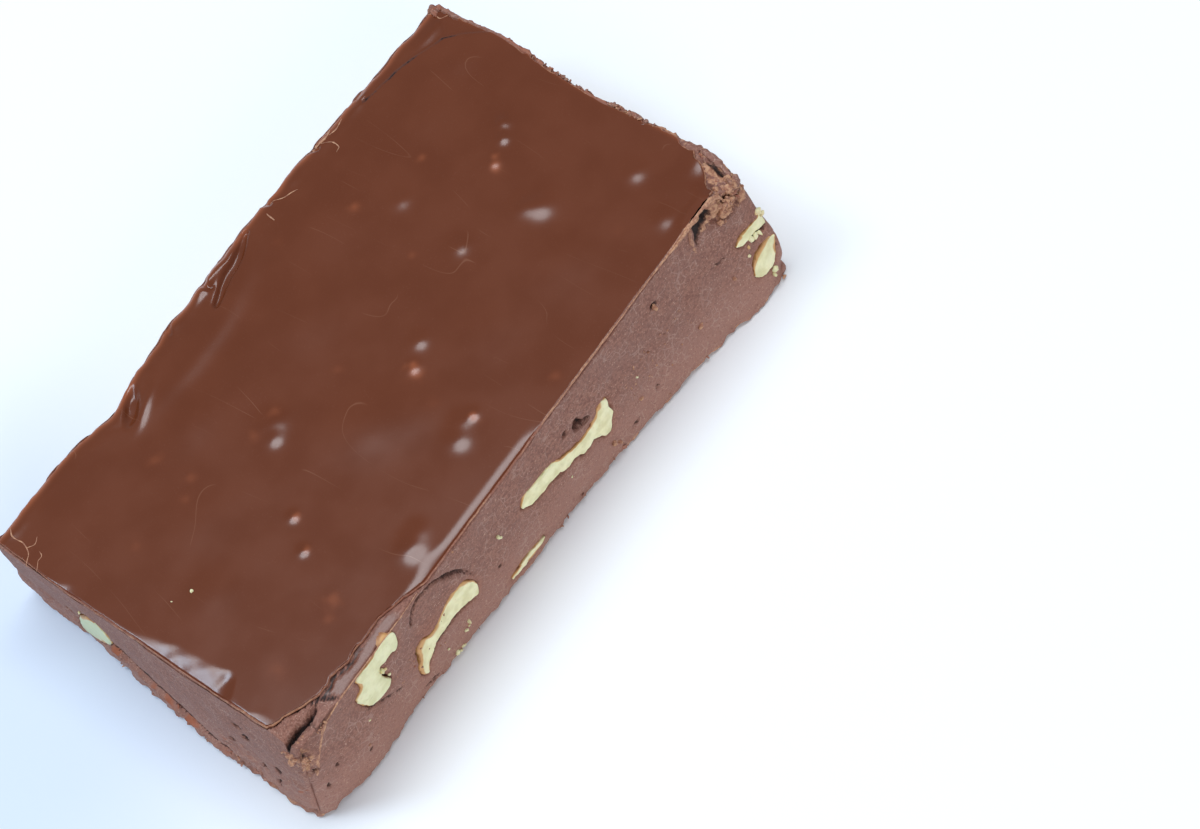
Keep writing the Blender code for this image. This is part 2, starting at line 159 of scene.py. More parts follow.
# Walnut pieces that lie open at a wall.  Each is a strip between two edges, drawn on its
# wall by stations: (along, height) of the first edge, then of the second.  After the
# stations: how deep the piece reaches in, its tan husk as (from, to, side, reach), and the
# gaps beside it, sunk and painted dark as shade, as (from, to, side, width).
WALNUTS = {
    "walnut_front_hook": ("front", [
        (-26.9, 18.1, -26.9, 17.4), (-27.3, 19.1, -27.0, 16.0), (-28.0, 19.5, -27.4, 15.1),
        (-29.1, 19.6, -28.4, 15.4), (-30.2, 19.4, -29.5, 15.3), (-31.4, 18.9, -30.3, 15.6),
        (-33.2, 18.9, -30.6, 15.4), (-34.4, 18.5, -30.7, 15.1), (-33.9, 17.2, -30.7, 14.8),
        (-34.0, 16.1, -30.6, 14.5), (-35.1, 15.5, -30.5, 14.0), (-34.9, 14.2, -30.3, 13.1),
        (-34.4, 12.8, -29.9, 12.2), (-33.8, 11.5, -29.7, 11.3), (-32.8, 10.9, -30.0, 10.6),
        (-31.9, 10.6, -30.7, 10.4)],
        3.5, [(0.05, 0.42, 1, 0.14), (0.46, 0.62, 1, 0.3), (0.75, 1.0, 1, 0.12)],
        [(0.38, 0.6, -1, 0.16), (0.75, 0.95, -1, 0.1)]),
    "walnut_front_arch": ("front", [
        (-24.7, 3.6, -24.5, 3.7), (-25.5, 4.5, -24.3, 4.4), (-25.6, 5.8, -23.9, 5.3),
        (-25.3, 7.3, -23.4, 5.9), (-25.0, 8.9, -22.8, 6.5), (-25.0, 10.1, -22.2, 7.2),
        (-23.9, 10.9, -21.6, 7.4), (-23.0, 10.2, -21.0, 7.5), (-22.0, 10.0, -20.4, 7.6),
        (-21.1, 10.4, -19.6, 7.9), (-20.2, 11.1, -18.9, 7.9), (-19.1, 12.0, -18.2, 7.9),
        (-18.0, 12.3, -17.3, 7.7), (-16.6, 12.2, -16.6, 7.4), (-15.5, 11.7, -16.0, 7.2),
        (-14.7, 10.6, -15.4, 7.0), (-14.1, 9.2, -15.0, 6.9), (-14.1, 8.1, -14.7, 6.8),
        (-14.3, 7.2, -14.5, 6.9)],
        4.0, [(0.0, 0.5, 1, 0.85), (0.5, 0.8, 1, 0.4), (0.8, 1.0, 1, 0.25), (0.0, 0.2, -1, 0.5)],
        [(0.12, 0.72, -1, 0.34), (0.72, 0.98, -1, 0.2), (0.1, 0.3, 1, 0.1)]),
    "walnut_front_long": ("front", [
        (-4.25, 11.8, -4.1, 11.3), (-3.7, 12.6, -3.5, 10.9), (-3.0, 13.2, -2.8, 10.2),
        (-2.0, 12.9, -1.9, 9.9), (-0.8, 12.8, -0.8, 9.8), (0.3, 12.7, 0.4, 9.8),
        (1.5, 12.6, 1.6, 9.6), (2.7, 12.2, 2.8, 9.5), (3.6, 11.5, 3.4, 9.0),
        (4.8, 11.1, 4.3, 8.5), (6.0, 10.6, 5.3, 8.6), (7.3, 10.4, 6.4, 8.3),
        (8.4, 10.4, 7.1, 7.6), (9.3, 10.6, 8.1, 7.5), (10.1, 10.9, 9.3, 7.8),
        (11.0, 11.3, 10.3, 7.0), (11.5, 12.2, 11.0, 6.2), (12.3, 12.3, 11.7, 5.9),
        (13.2, 11.8, 12.2, 6.3), (13.0, 10.7, 12.7, 7.5), (13.2, 9.6, 13.5, 8.5)],
        4.0, [(0.0, 0.12, 1, 0.5), (0.35, 0.7, 1, 0.3), (0.7, 0.84, 1, 0.5), (0.4, 0.6, -1, 0.2)],
        [(0.1, 0.35, -1, 0.12), (0.33, 0.42, -1, 0.42), (0.56, 0.66, -1, 0.28), (0.88, 1.0, 1, 0.15)]),
    "walnut_front_sliver": ("front", [
        (-9.5, 2.3, -9.4, 1.8), (-7.4, 2.8, -7.3, 1.8), (-4.8, 2.9, -4.8, 1.9), (-2.9, 2.8, -2.9, 2.3)],
        2.0, [(0.0, 0.3, 1, 0.9), (0.45, 0.8, -1, 0.9)], [(0.1, 0.9, -1, 0.1)]),
    "walnut_corner_strip": ("front", [
        (39.1, 11.2, 39.2, 10.9), (40.1, 11.6, 39.9, 10.3), (41.4, 11.5, 41.3, 10.0),
        (42.7, 11.3, 42.8, 9.9), (43.9, 11.2, 43.8, 9.4), (44.8, 11.4, 44.8, 9.5)],
        3.0, [(0.0, 0.3, 1, 0.8), (0.3, 0.9, 1, 0.25)], [(0.4, 0.9, -1, 0.2)]),
    "walnut_front_oval": ("front", [
        (39.3, 5.0, 39.3, 4.8), (39.9, 6.2, 40.1, 4.0), (40.9, 7.0, 41.2, 3.5),
        (42.2, 7.4, 42.5, 3.5), (43.4, 7.5, 43.6, 4.3), (44.4, 7.3, 44.4, 5.6), (44.9, 6.9, 44.9, 6.4)],
        3.5, [(0.0, 1.0, 1, 0.45), (0.68, 1.0, -1, 1.3)], [(0.2, 0.9, 1, 0.12)]),
    "walnut_left_chunk": ("left", [
        (14.9, 3.5, 13.9, 2.7), (14.5, 5.6, 11.8, 3.4), (13.9, 8.2, 9.6, 5.4),
        (12.9, 10.4, 8.3, 7.6), (11.6, 12.4, 7.8, 10.2), (10.4, 13.3, 8.3, 12.0), (9.8, 13.4, 9.1, 13.1)],
        3.5, [(0.1, 0.4, -1, 0.5), (0.5, 1.0, 1, 0.3)], [(0.45, 0.85, 1, 0.4), (0.1, 0.6, -1, 0.12)]),
    "walnut_back_wave": ("back", [
        (-30.2, 7.6, -30.1, 6.8), (-28.9, 9.2, -28.6, 6.9), (-27.2, 10.2, -27.0, 7.2),
        (-25.6, 9.6, -25.6, 7.5), (-24.2, 9.9, -24.0, 6.9), (-22.4, 9.1, -22.4, 5.9),
        (-20.6, 8.1, -20.8, 5.4), (-19.2, 8.3, -19.2, 6.3), (-18.1, 7.9, -18.2, 7.2)],
        4.0, [(0.0, 0.5, 1, 0.35), (0.7, 1.0, -1, 0.8)], [(0.2, 0.7, -1, 0.3)]),
    "walnut_back_arch": ("back", [
        (-3.7, 9.3, -3.2, 8.6), (-3.1, 11.8, -1.9, 9.8), (-1.6, 13.6, -0.6, 11.3),
        (0.4, 15.0, 0.8, 11.8), (2.4, 15.1, 2.2, 11.6), (4.4, 14.5, 3.6, 11.4),
        (5.9, 13.2, 4.6, 10.6), (6.8, 11.2, 5.7, 9.9), (6.8, 9.9, 6.2, 9.4)],
        4.0, [(0.1, 0.9, 1, 0.35)], [(0.2, 0.8, -1, 0.34)]),
    "walnut_back_strip": ("back", [
        (18.9, 6.1, 18.9, 5.3), (20.4, 7.1, 20.5, 4.9), (22.3, 7.2, 22.4, 5.2),
        (24.0, 6.4, 24.2, 4.2), (25.8, 6.6, 26.0, 3.8), (27.5, 6.1, 27.6, 4.0), (28.7, 5.5, 28.7, 4.9)],
        3.5, [(0.3, 1.0, 1, 0.3), (0.0, 0.2, -1, 0.8)], [(0.3, 0.8, -1, 0.25)]),
    "walnut_back_oval": ("back", [
        (34.4, 12.7, 34.4, 11.8), (35.4, 14.1, 35.5, 10.9), (36.9, 14.5, 37.0, 11.0),
        (38.4, 14.6, 38.6, 11.7), (39.6, 14.2, 39.7, 13.0)],
        3.5, [(0.0, 0.6, -1, 0.4)], [(0.3, 1.0, -1, 0.2)]),
    "walnut_right_hook": ("right", [
        (14.9, 6.4, 14.5, 5.6), (14.0, 8.6, 13.2, 6.1), (12.2, 9.4, 11.8, 6.4),
        (10.2, 10.3, 10.0, 7.2), (8.2, 10.4, 8.4, 7.0), (6.4, 9.4, 7.2, 6.6),
        (5.0, 7.6, 6.1, 5.8), (4.8, 5.9, 5.6, 5.3)],
        4.0, [(0.1, 0.7, 1, 0.35)], [(0.2, 0.9, -1, 0.3)]),
    "walnut_right_oval": ("right", [
        (-5.8, 12.5, -5.8, 11.5), (-7.0, 13.8, -7.0, 10.9), (-8.4, 13.7, -8.4, 10.6),
        (-9.9, 13.4, -9.8, 10.6), (-11.3, 12.2, -11.3, 11.0)],
        3.5, [(0.4, 1.0, -1, 0.5)], [(0.1, 0.6, -1, 0.2)]),
}


def smooth_path(stations, count):
    """Catmull-Rom curve through the stations: a cubic in each span, read evenly."""
    knots = np.array(stations, dtype=float)
    knots = np.vstack([2.0 * knots[0] - knots[1], knots, 2.0 * knots[-1] - knots[-2]])
    place = np.linspace(0.0, len(stations) - 1 - 1e-9, count)
    span = place.astype(int)
    t = (place - span)[:, None]
    a, b, c, d = (knots[span + step] for step in range(4))
    return 0.5 * (2.0 * b + (c - a) * t + (2.0 * a - 5.0 * b + 4.0 * c - d) * t ** 2
                  + (3.0 * b - a - 3.0 * c + d) * t ** 3)


def outside_outline(spots, outline):
    """How far spots lie outside a closed outline: the distance to its nearest side, which
    is less than 0 inside, where a ray to the right crosses an odd number of sides."""
    gap = np.full(len(spots), 99.0)
    near = ((spots > outline.min(axis=0) - 2.5) & (spots < outline.max(axis=0) + 2.5)).all(axis=1)
    side = np.roll(outline, -1, axis=0) - outline
    parts = []
    for part in np.array_split(spots[near], max(1, near.sum() * len(outline) // 2000000)):
        away = part[:, None] - outline
        share = np.clip((away * side).sum(axis=2) / ((side ** 2).sum(axis=1) + 1e-12), 0.0, 1.0)
        distance = np.linalg.norm(away - share[..., None] * side, axis=2).min(axis=1)
        crosses = (away[..., 1] < 0.0) != (away[..., 1] < side[:, 1])
        reach = away[..., 1] * side[:, 0] / (side[:, 1] + 1e-12)
        odd = (crosses & (away[..., 0] < reach)).sum(axis=1) % 2 == 1
        parts.append(np.where(odd, -distance, distance))
    gap[near] = np.concatenate(parts)
    return gap


def beside_path(spots, stations, count=60):
    """How far spots lie outside a tapered line: distance to it less its half width there."""
    path = smooth_path(stations, count)
    gap = np.full(len(spots), 99.0)
    near = ((spots > path[:, :2].min(axis=0) - 3.0) & (spots < path[:, :2].max(axis=0) + 3.0)).all(axis=1)
    distance = np.linalg.norm(spots[near][:, None] - path[:, :2], axis=2)
    gap[near] = (distance - path[:, 2]).min(axis=1) if near.any() else 0.0
    return gap


def oval(a, b, middle_a, middle_b, long_half, short_half, turn):
    """1 at the middle of a turned oval, 0 at its edge and negative beyond."""
    cos = math.cos(math.radians(turn))
    sin = math.sin(math.radians(turn))
    along = (a - middle_a) * cos + (b - middle_b) * sin
    across = (b - middle_b) * cos - (a - middle_a) * sin
    return 1.0 - np.sqrt((along / long_half) ** 2 + (across / short_half) ** 2)


# Gloss spots of the poured top, where it swells over a walnut piece: x, y, radius, height
GLOSS_SWELLS = [
    (-14.5, 3.8, 2.0, 0.22), (-15.9, 2.4, 1.3, 0.12), (18.6, 9.4, 1.5, 0.14), (17.4, -1.6, 1.5, 0.15),
    (27.1, -7.5, 2.3, 0.26), (26.2, -5.6, 1.6, 0.12), (37.4, -15.3, 1.7, 0.17), (33.9, -22.6, 1.7, 0.13),
    (-18.3, -22.0, 1.9, 0.22), (-16.2, -21.2, 1.5, 0.12), (-3.9, -18.2, 1.8, 0.17), (-1.9, -17.0, 1.5, 0.17),
    (4.2, -5.3, 1.3, 0.15), (1.0, -6.9, 1.0, 0.13), (29.6, 2.2, 1.0, 0.13), (-0.2, -17.4, 0.9, 0.13),
    (34.6, 4.8, 1.3, 0.20), (33.0, 3.4, 1.1, 0.17), (-9.5, -7.5, 5.0, 0.26), (-5.0, -11.5, 4.5, 0.18),
    (-22.6, -6.2, 0.8, 0.11), (-25.4, -10.2, 0.8, 0.11), (8.0, -13.0, 5.0, 0.12), (-2.5, 9.0, 5.0, 0.14),
    (-30.5, 3.0, 4.5, 0.10), (22.0, -15.5, 5.0, 0.12), (-36.5, -4.5, 3.5, 0.10), (10.5, 15.0, 5.0, 0.12),
    (29.0, 14.0, 4.0, 0.12), (-20.0, 13.0, 3.5, 0.12), (38.5, 15.5, 3.0, 0.20)]
GLOSS_SIDE = (0.73, 0.68)
# Grooves in the skin near its far corner and back edge: (x, y, half width), and depth
SKIN_GROOVES = [
    ([(41.8, 21.0, 0.05), (43.2, 22.6, 0.1), (43.6, 24.6, 0.05)], 0.12),
    ([(-4.9, 21.6, 0.10), (-2.0, 22.6, 0.30), (2.0, 23.4, 0.30), (5.0, 24.6, 0.10)], 0.65),
    ([(-3.2, 25.6, 0.20), (-3.6, 24.6, 0.16), (-3.4, 23.8, 0.02)], 0.5), ([(9.6, 25.6, 0.2), (10.0, 24.7, 0.05)], 0.5),
    ([(19.0, 25.6, 0.25), (19.6, 24.6, 0.05)], 0.5), ([(-10.5, 25.6, 0.3), (-11.2, 24.4, 0.05)], 0.35)]

# How far in from the left end the top starts to roll off: (place along the end, reach)
LEFT_ROLL = [(-26.0, 0.4), (-22.5, 0.6), (-20.8, 1.2), (-18.8, 1.1), (-17.0, 0.5), (-14.8, 1.0), (-14.0, 1.6),
             (-13.2, 3.0), (-12.2, 3.5), (-10.8, 3.1), (-8.6, 2.7), (-6.2, 2.5), (-4.0, 2.3), (-2.0, 1.7), (1.0, 0.9),
             (4.5, 0.5), (9.5, 0.6), (12.4, 1.4),
             (15.5, 0.5), (26.0, 0.4)]
# Crease across the far corner, behind which the skin lies lower
CREASE = [(24.0, 25.4), (28.0, 23.4), (31.0, 23.0), (34.0, 22.9), (37.5, 21.6), (41.0, 20.6), (43.0, 18.2), (44.6, 15.4),
          (45.1, 12.0)]


def skin_height(x, y):
    """Height of the poured top over the even plane, in mm.

    It rolls off in a parabola along the left end and half of the front, swells over walnut
    pieces by a bell each, and has a fold, a dimple, grooves and waves at the back.
    """
    spots = np.stack([x, y, np.zeros_like(x)], axis=-1)
    height = 0.08 * grain(spots, 11.0, 21) + 0.014 * grain(spots, 4.5, 22) + 0.003 * grain(spots, 1.8, 23)
    reach = np.interp(y, *smooth_path(LEFT_ROLL, 300).T) * (1.0 + 0.10 * grain(spots, 1.6, 47))
    reach = np.clip(reach - x - LENGTH / 2.0, 0.0, None)
    height -= 0.27 * reach ** 2 / (reach + 1.3)
    reach = 1.5 + 0.5 * bell(x, -18.6, 2.2)
    drop = 0.26 * ease((4.0 - x) / 5.0) * (1.0 + 0.4 * bell(x, -18.6, 2.2))
    height -= drop * np.clip(1.0 - (y + WIDTH / 2.0) / reach, 0.0, 1.0) ** 2
    for gloss_x, gloss_y, radius, tall in GLOSS_SWELLS:
        middle_x = gloss_x + 0.4 * radius * GLOSS_SIDE[0]
        middle_y = gloss_y + 0.4 * radius * GLOSS_SIDE[1]
        tall = tall * (1.6 if radius < 2.6 else 1.0)
        height += tall * np.exp(-((x - middle_x) ** 2 + (y - middle_y) ** 2) / (0.85 * radius) ** 2)
    height += 0.50 * bell(x, 37.0, 2.8) * ease((2.2 - y - WIDTH / 2.0) / 2.2)
    height -= 1.3 * ease((x - 39.2) / 4.0) * ease((-20.5 - y) / 5.0)
    behind = ease((3.0 - WIDTH / 2.0 + y) / 3.0)
    height -= 0.5 * np.clip(1.0 - (WIDTH / 2.0 - y) / 1.6, 0.0, 1.0) ** 2
    height += behind * (0.26 * grain(spots, 2.8, 41) + 0.12 * grain(spots, 1.2, 42))
    height -= 0.9 * ease(1.4 * oval(x, y, -21.6, 23.4, 3.4, 1.5, 25))
    height += 0.30 * bell(x, -20.6, 2.4) * bell(y, 21.4 + 0.25 * (x + 20.6), 0.7)
    height += 0.50 * bell(x, -2.6, 3.4) * bell(y, 24.6, 0.8)
    past = y - np.interp(x, *np.array(CREASE).T)
    height -= 0.26 * ease(past / 0.7) * ease((x - 24.5) / 5.0)
    height += 0.34 * bell(x, 28.6, 1.0) * bell(y, 24.2, 0.5) + 0.20 * bell(x, 40.6, 2.6) * bell(y, 22.9, 0.9)
    wave_y = 17.8 + 0.014 * (x + 11.0) ** 2
    height += 0.12 * bell(y, wave_y + 1.3, 1.5) * bell(x, -9.0, 12.0)
    height -= 0.10 * bell(y, wave_y - 1.4, 1.7) * bell(x, -9.0, 12.0)
    flat = spots[..., :2].reshape(-1, 2)
    for groove, deep in SKIN_GROOVES:
        height -= deep * np.exp(-(np.maximum(beside_path(flat, groove), 0.0) / 0.35) ** 2).reshape(x.shape)
    return height


# How far the poured skin stops short of each wall, read between (place along wall, inset)
SKIN_INSET = {
    "front": [(-45.0, 4.75), (-44.0, 4.55), (-42.7, 4.1), (-41.0, 3.2), (-39.3, 2.65), (-38.4, 2.25), (-37.0, 2.1),
              (-35.9, 2.5), (-34.7, 2.2), (-33.3, 1.7), (-32.0, 1.95), (-30.2, 2.0), (-27.0, 1.95), (-24.0, 1.1),
              (-20.5, 0.06), (45.0, 0.06)],
    "right": [(-25.5, 4.6), (-24.4, 3.9), (-23.4, 3.3), (-21.7, 2.0), (-19.5, 1.0), (-17.4, 0.8), (-16.4, 0.4),
              (-8.0, 0.5), (-5.0, 0.6), (1.0, 0.3), (9.0, 0.6), (13.0, 0.5), (16.5, 0.4), (25.5, 0.3)],
    "back": [(-45.0, 0.15), (45.0, 0.15)],
    "left": [(-25.5, 0.1), (16.0, 0.1), (20.0, 0.3), (25.5, 0.5)],
}
SKIN_RAGGED = {"front": 0.10, "right": 0.65, "back": 0.30, "left": 0.12}
SKIN_CELLS = (396, 226)
CLOSER = 0.25
CORNER_RADIUS = 1.0


def spread(cells):
    """Lines from -1 to 1 that lie closer at both ends: u + k/pi sin(pi u)."""
    u = np.linspace(-1.0, 1.0, cells + 1)
    return u + CLOSER / math.pi * np.sin(math.pi * u)


def skin_plan(x, y):
    """Where the skin has a point of the even rectangle, seen from above.

    Its corners are rounded by scaling a square onto a quarter disc.  Then each side is drawn
    in by its inset, fading over 14 mm, and made ragged, fading over 2 mm.
    """
    past_x = np.clip(np.abs(x) - LENGTH / 2.0 + CORNER_RADIUS, 0.0, None)
    past_y = np.clip(np.abs(y) - WIDTH / 2.0 + CORNER_RADIUS, 0.0, None)
    shrink = 1.0 - np.maximum(past_x, past_y) / np.maximum(np.hypot(past_x, past_y), 1e-9)
    shrink = np.where((past_x > 0.0) & (past_y > 0.0), shrink, 0.0)
    plan_x = x - np.sign(x) * past_x * shrink
    plan_y = y - np.sign(y) * past_y * shrink
    for wall, (place, gap, way) in {"front": (x, y + WIDTH / 2.0, 1.0), "back": (x, WIDTH / 2.0 - y, -1.0),
                                    "left": (y, x + LENGTH / 2.0, 1.0), "right": (y, LENGTH / 2.0 - x, -1.0)}.items():
        spot = np.stack([place, np.zeros_like(place), np.zeros_like(place)], axis=-1)
        number = len(wall)
        inset = np.interp(place, *np.array(SKIN_INSET[wall]).T)
        rough = grain(spot, 1.9, 30 + number) + 0.7 * grain(spot, 0.75, 31 + number)
        broken = ease((inset - 0.15) / 0.5)
        ragged = SKIN_RAGGED[wall] * (0.35 + 0.65 * broken) * rough
        if wall == "right":
            ragged = ragged * (0.15 + 0.85 * ease(0.5 + 1.6 * grain(spot, 5.0, 39)))
        if wall == "front":
            ragged = ragged + 0.10 * broken * grain(spot, 0.5, 38)
        draw = inset * np.clip(1.0 - gap / 14.0, 0.0, 1.0) + ragged * np.clip(1.0 - gap / 2.0, 0.0, 1.0) ** 2
        draw = np.maximum(draw, 0.02 * np.clip(1.0 - gap / 2.0, 0.0, 1.0))
        if wall in ("front", "back"):
            plan_y = plan_y + way * draw
        else:
            plan_x = plan_x + way * draw
    return plan_x, plan_y


def round_the_sides(lines_x, lines_y):
    """Rim of a rectangle as one ring, counter-clockwise from its front left corner."""
    half_x = np.full(len(lines_y) - 1, lines_x[-1])
    half_y = np.full(len(lines_x) - 1, lines_y[-1])
    return np.stack([np.concatenate([lines_x[:-1], half_x, lines_x[:0:-1], -half_x]),
                     np.concatenate([-half_y, lines_y[:-1], half_y, lines_y[:0:-1]])], axis=1)


skin_x = spread(SKIN_CELLS[0]) * LENGTH / 2.0
skin_y = spread(SKIN_CELLS[1]) * WIDTH / 2.0
skin_rim_even = round_the_sides(skin_x, skin_y)
skin_rim = np.stack(skin_plan(*skin_rim_even.T), axis=1)

BLOCK_CELLS = (300, 172)
FOOT_RADIUS = 0.7
RIM_RADIUS = 0.25
BORDER = 5.0
FOOT_ROWS = 5
WALL_ROWS = 70
RIM_ROWS = 3
BORDER_ROWS = 15
SUNK = 0.45
SUNK_LEFT = 0.80

# Hollows in the walls, sunk and painted dark as shade: along, height, half length, half height, turn in degrees, depth
HOLLOWS = {
    "front": [
        (8.0, 13.4, 0.55, 1.05, -10, 1.5), (8.9, 12.6, 1.2, 0.5, -22, 1.5), (5.8, 14.3, 0.4, 0.5, 0, 0.9),
        (36.3, 11.4, 0.9, 0.08, -12, 0.3), (-30.4, 13.6, 0.25, 1.2, 14, 0.7), (43.0, 9.3, 1.2, 0.3, 6, 0.8),
        (25.2, 16.0, 0.7, 0.45, -30, 0.3), (-44.0, 12.9, 0.35, 0.55, 0, 1.4), (-43.3, 11.6, 0.4, 0.35, 10, 1.0),
        (-44.4, 15.4, 0.5, 0.4, 20, 0.8), (-42.4, 6.0, 0.25, 0.7, 10, 0.6), (-31.4, 9.4, 2.6, 0.14, -38, 0.25),
        (-40.6, 8.7, 0.25, 0.35, 0, 0.5), (-24.6, 1.7, 0.9, 0.2, -14, 0.5), (20.4, 4.4, 0.3, 0.25, 0, 0.4),
        (15.6, 2.5, 0.7, 0.16, 12, 0.4), (-10.2, 6.9, 0.22, 0.3, 0, 0.5), (-35.9, 4.8, 0.25, 0.2, 0, 0.5)],
    "left": [
        (-16.0, 12.6, 0.5, 0.7, 20, 0.6), (-17.8, 6.3, 0.6, 0.7, -10, 0.6), (-20.5, 9.0, 0.5, 0.6, 0, 0.5),
        (-13.2, 8.8, 0.45, 0.4, 0, 0.4), (15.0, 9.6, 0.8, 0.4, 30, 0.8), (-14.8, 14.2, 0.7, 0.35, -10, 0.5),
        (-20.0, 5.0, 0.35, 0.8, 10, 0.6), (-11.6, 5.6, 0.6, 0.3, -30, 0.5)],
    "back": [
        (-24.4, 6.2, 2.2, 0.35, -14, 0.9), (1.8, 11.1, 2.0, 0.35, 0, 1.0), (14.0, 14.2, 1.0, 0.5, 30, 1.2),
        (-12.0, 4.0, 0.6, 0.4, 0, 0.8), (30.0, 8.4, 0.5, 0.7, 20, 0.9), (37.2, 10.6, 1.3, 0.25, 6, 0.8),
        (-37.0, 12.0, 0.5, 0.4, 0, 0.6), (23.4, 4.3, 1.6, 0.25, -16, 0.7)],
    "right": [
        (10.0, 6.6, 2.0, 0.35, -12, 0.9), (-8.6, 10.3, 1.2, 0.25, 0, 0.7), (-1.0, 5.0, 0.6, 0.5, 0, 0.9),
        (19.0, 13.0, 0.8, 0.4, 30, 0.8), (-18.0, 6.0, 0.5, 0.6, 0, 0.7)],
}
# Splits, sunk and painted dark as shade: (place, place, half width), on the front wall and, seen from above, in the top
SPLIT_ARC = [(-24.3, 15.4, 0.06), (-23.9, 17.2, 0.16), (-22.8, 18.5, 0.20), (-20.8, 18.6, 0.18), (-19.4, 18.0, 0.18),
             (-17.4, 16.4, 0.22), (-15.6, 14.6, 0.20), (-14.6, 12.6, 0.10), (-13.8, 10.6, 0.0)]
RIM_HOLE = [(34.9, 16.6, 0.10), (35.4, 17.6, 0.40), (36.3, 18.3, 0.52), (37.4, 18.5, 0.50), (38.3, 18.3, 0.38), (39.0, 17.9, 0.1)]
CREVICE = [(-46.0, -23.7, 0.30), (-44.2, -23.65, 0.42), (-42.7, -23.75, 0.50), (-41.4, -23.95, 0.42),
           (-40.3, -23.85, 0.30), (-39.5, -23.7, 0.08)]
CRACKS = [[(-41.8, -21.9, 0.03), (-40.8, -22.3, 0.14), (-39.6, -22.9, 0.24), (-38.6, -23.4, 0.36), (-38.1, -24.1, 0.34),
           (-37.6, -24.7, 0.27), (-37.2, -25.2, 0.12)],
          [(-38.6, -23.6, 0.24), (-37.6, -23.75, 0.22), (-36.6, -23.6, 0.22), (-35.9, -23.25, 0.22), (-34.7, -23.6, 0.22),
           (-33.3, -24.05, 0.22), (-32.0, -23.85, 0.20), (-30.3, -23.75, 0.16), (-27.5, -23.7, 0.08)],
          [(-40.6, -23.9, 0.10), (-41.4, -24.3, 0.13), (-41.6, -25.4, 0.08)],
          [(44.4, -20.2, 0.05), (44.1, -21.5, 0.26), (43.9, -22.8, 0.34), (43.7, -24.0, 0.30), (43.7, -24.9, 0.08)]]
# Ridge between the front wall and the broken near corner: height, then place along
RIDGE = [(0.0, -43.9), (2.2, -42.3), (5.0, -42.4), (10.5, -43.4), (14.4, -42.5), (17.2, -41.2),
         (18.4, -40.2), (18.9, -38.8), (19.5, -36.9), (20.0, -34.5)]
# Top of the step in the left end, where the foot dragged on the tin: place along, height
LEDGE = [(-26.0, 0.4), (-14.0, 0.6), (-10.0, 1.6), (-7.0, 3.0), (-4.0, 4.3), (-0.5, 5.4), (3.5, 6.2), (7.0, 8.2),
         (26.0, 8.8)]


def block_grid():
    """Points, outward directions and faces of the even block, as rows of one ring each.

    The rows run from the middle of the base out and round the foot, up the wall, round the
    rim and in over the top, where the skin covers them.  A point closes each end.
    """
    ring = round_the_sides(spread(BLOCK_CELLS[0]) * LENGTH / 2.0, spread(BLOCK_CELLS[1]) * WIDTH / 2.0)
    half = np.array([LENGTH, WIDTH]) / 2.0
    foot = np.linspace(-math.pi / 2.0, 0.0, FOOT_ROWS + 1)
    rim = np.linspace(0.0, math.pi / 2.0, RIM_ROWS + 1)
    wall = np.linspace(FOOT_RADIUS, HEIGHT - RIM_RADIUS, WALL_ROWS + 1)[1:-1]
    border = np.linspace(RIM_RADIUS, BORDER, BORDER_ROWS + 1)[1:]
    inset = np.concatenate([FOOT_RADIUS * (1.0 - np.cos(foot)), 0.0 * wall, RIM_RADIUS * (1.0 - np.cos(rim)), border])
    height = np.concatenate([FOOT_RADIUS * (1.0 + np.sin(foot)), wall,
                             HEIGHT - RIM_RADIUS * (1.0 - np.sin(rim)), 0.0 * border + HEIGHT])
    slope = np.concatenate([foot, 0.0 * wall, rim, 0.0 * border + math.pi / 2.0])
    scale = np.concatenate([[0.25, 0.5, 0.75], np.ones(len(inset)), [0.7, 0.4]])
    inset = np.concatenate([[FOOT_RADIUS] * 3, inset, [BORDER] * 2])
    height = np.concatenate([[0.0] * 3, height, [HEIGHT] * 2])
    slope = np.concatenate([[-math.pi / 2.0] * 3, slope, [math.pi / 2.0] * 2])

    radius = np.maximum(CORNER_RADIUS - inset, 0.05)[:, None, None]
    scaled = ring * ((half - inset[:, None]) / half)[:, None, :]
    room = (half - inset[:, None])[:, None, :] - radius
    inner = np.clip(scaled, -room, room)
    out = scaled - inner
    out /= np.linalg.norm(out, axis=2, keepdims=True)
    plan = (inner + out * radius) * scale[:, None, None]
    points = np.concatenate([plan, np.broadcast_to(height[:, None, None], (*plan.shape[:2], 1))], axis=2)
    outward = np.concatenate([out * np.cos(slope)[:, None, None],
                              np.broadcast_to(np.sin(slope)[:, None, None], (*plan.shape[:2], 1))], axis=2)
    return points, outward


def ring_faces(rows, columns):
    """Quads between rows of one ring each, and a fan to one last point at either end."""
    index = np.arange(rows * columns).reshape(rows, columns)
    low = index[:-1]
    high = index[1:]
    quads = np.stack([low, np.roll(low, -1, 1), np.roll(high, -1, 1), high], axis=-1).reshape(-1, 4)
    first = np.full(columns, rows * columns)
    start = np.stack([first, np.roll(index[0], -1), index[0]], axis=-1)
    stop = np.stack([first + 1, index[-1], np.roll(index[-1], -1)], axis=-1)
    return quads.tolist() + start.tolist() + stop.tolist()


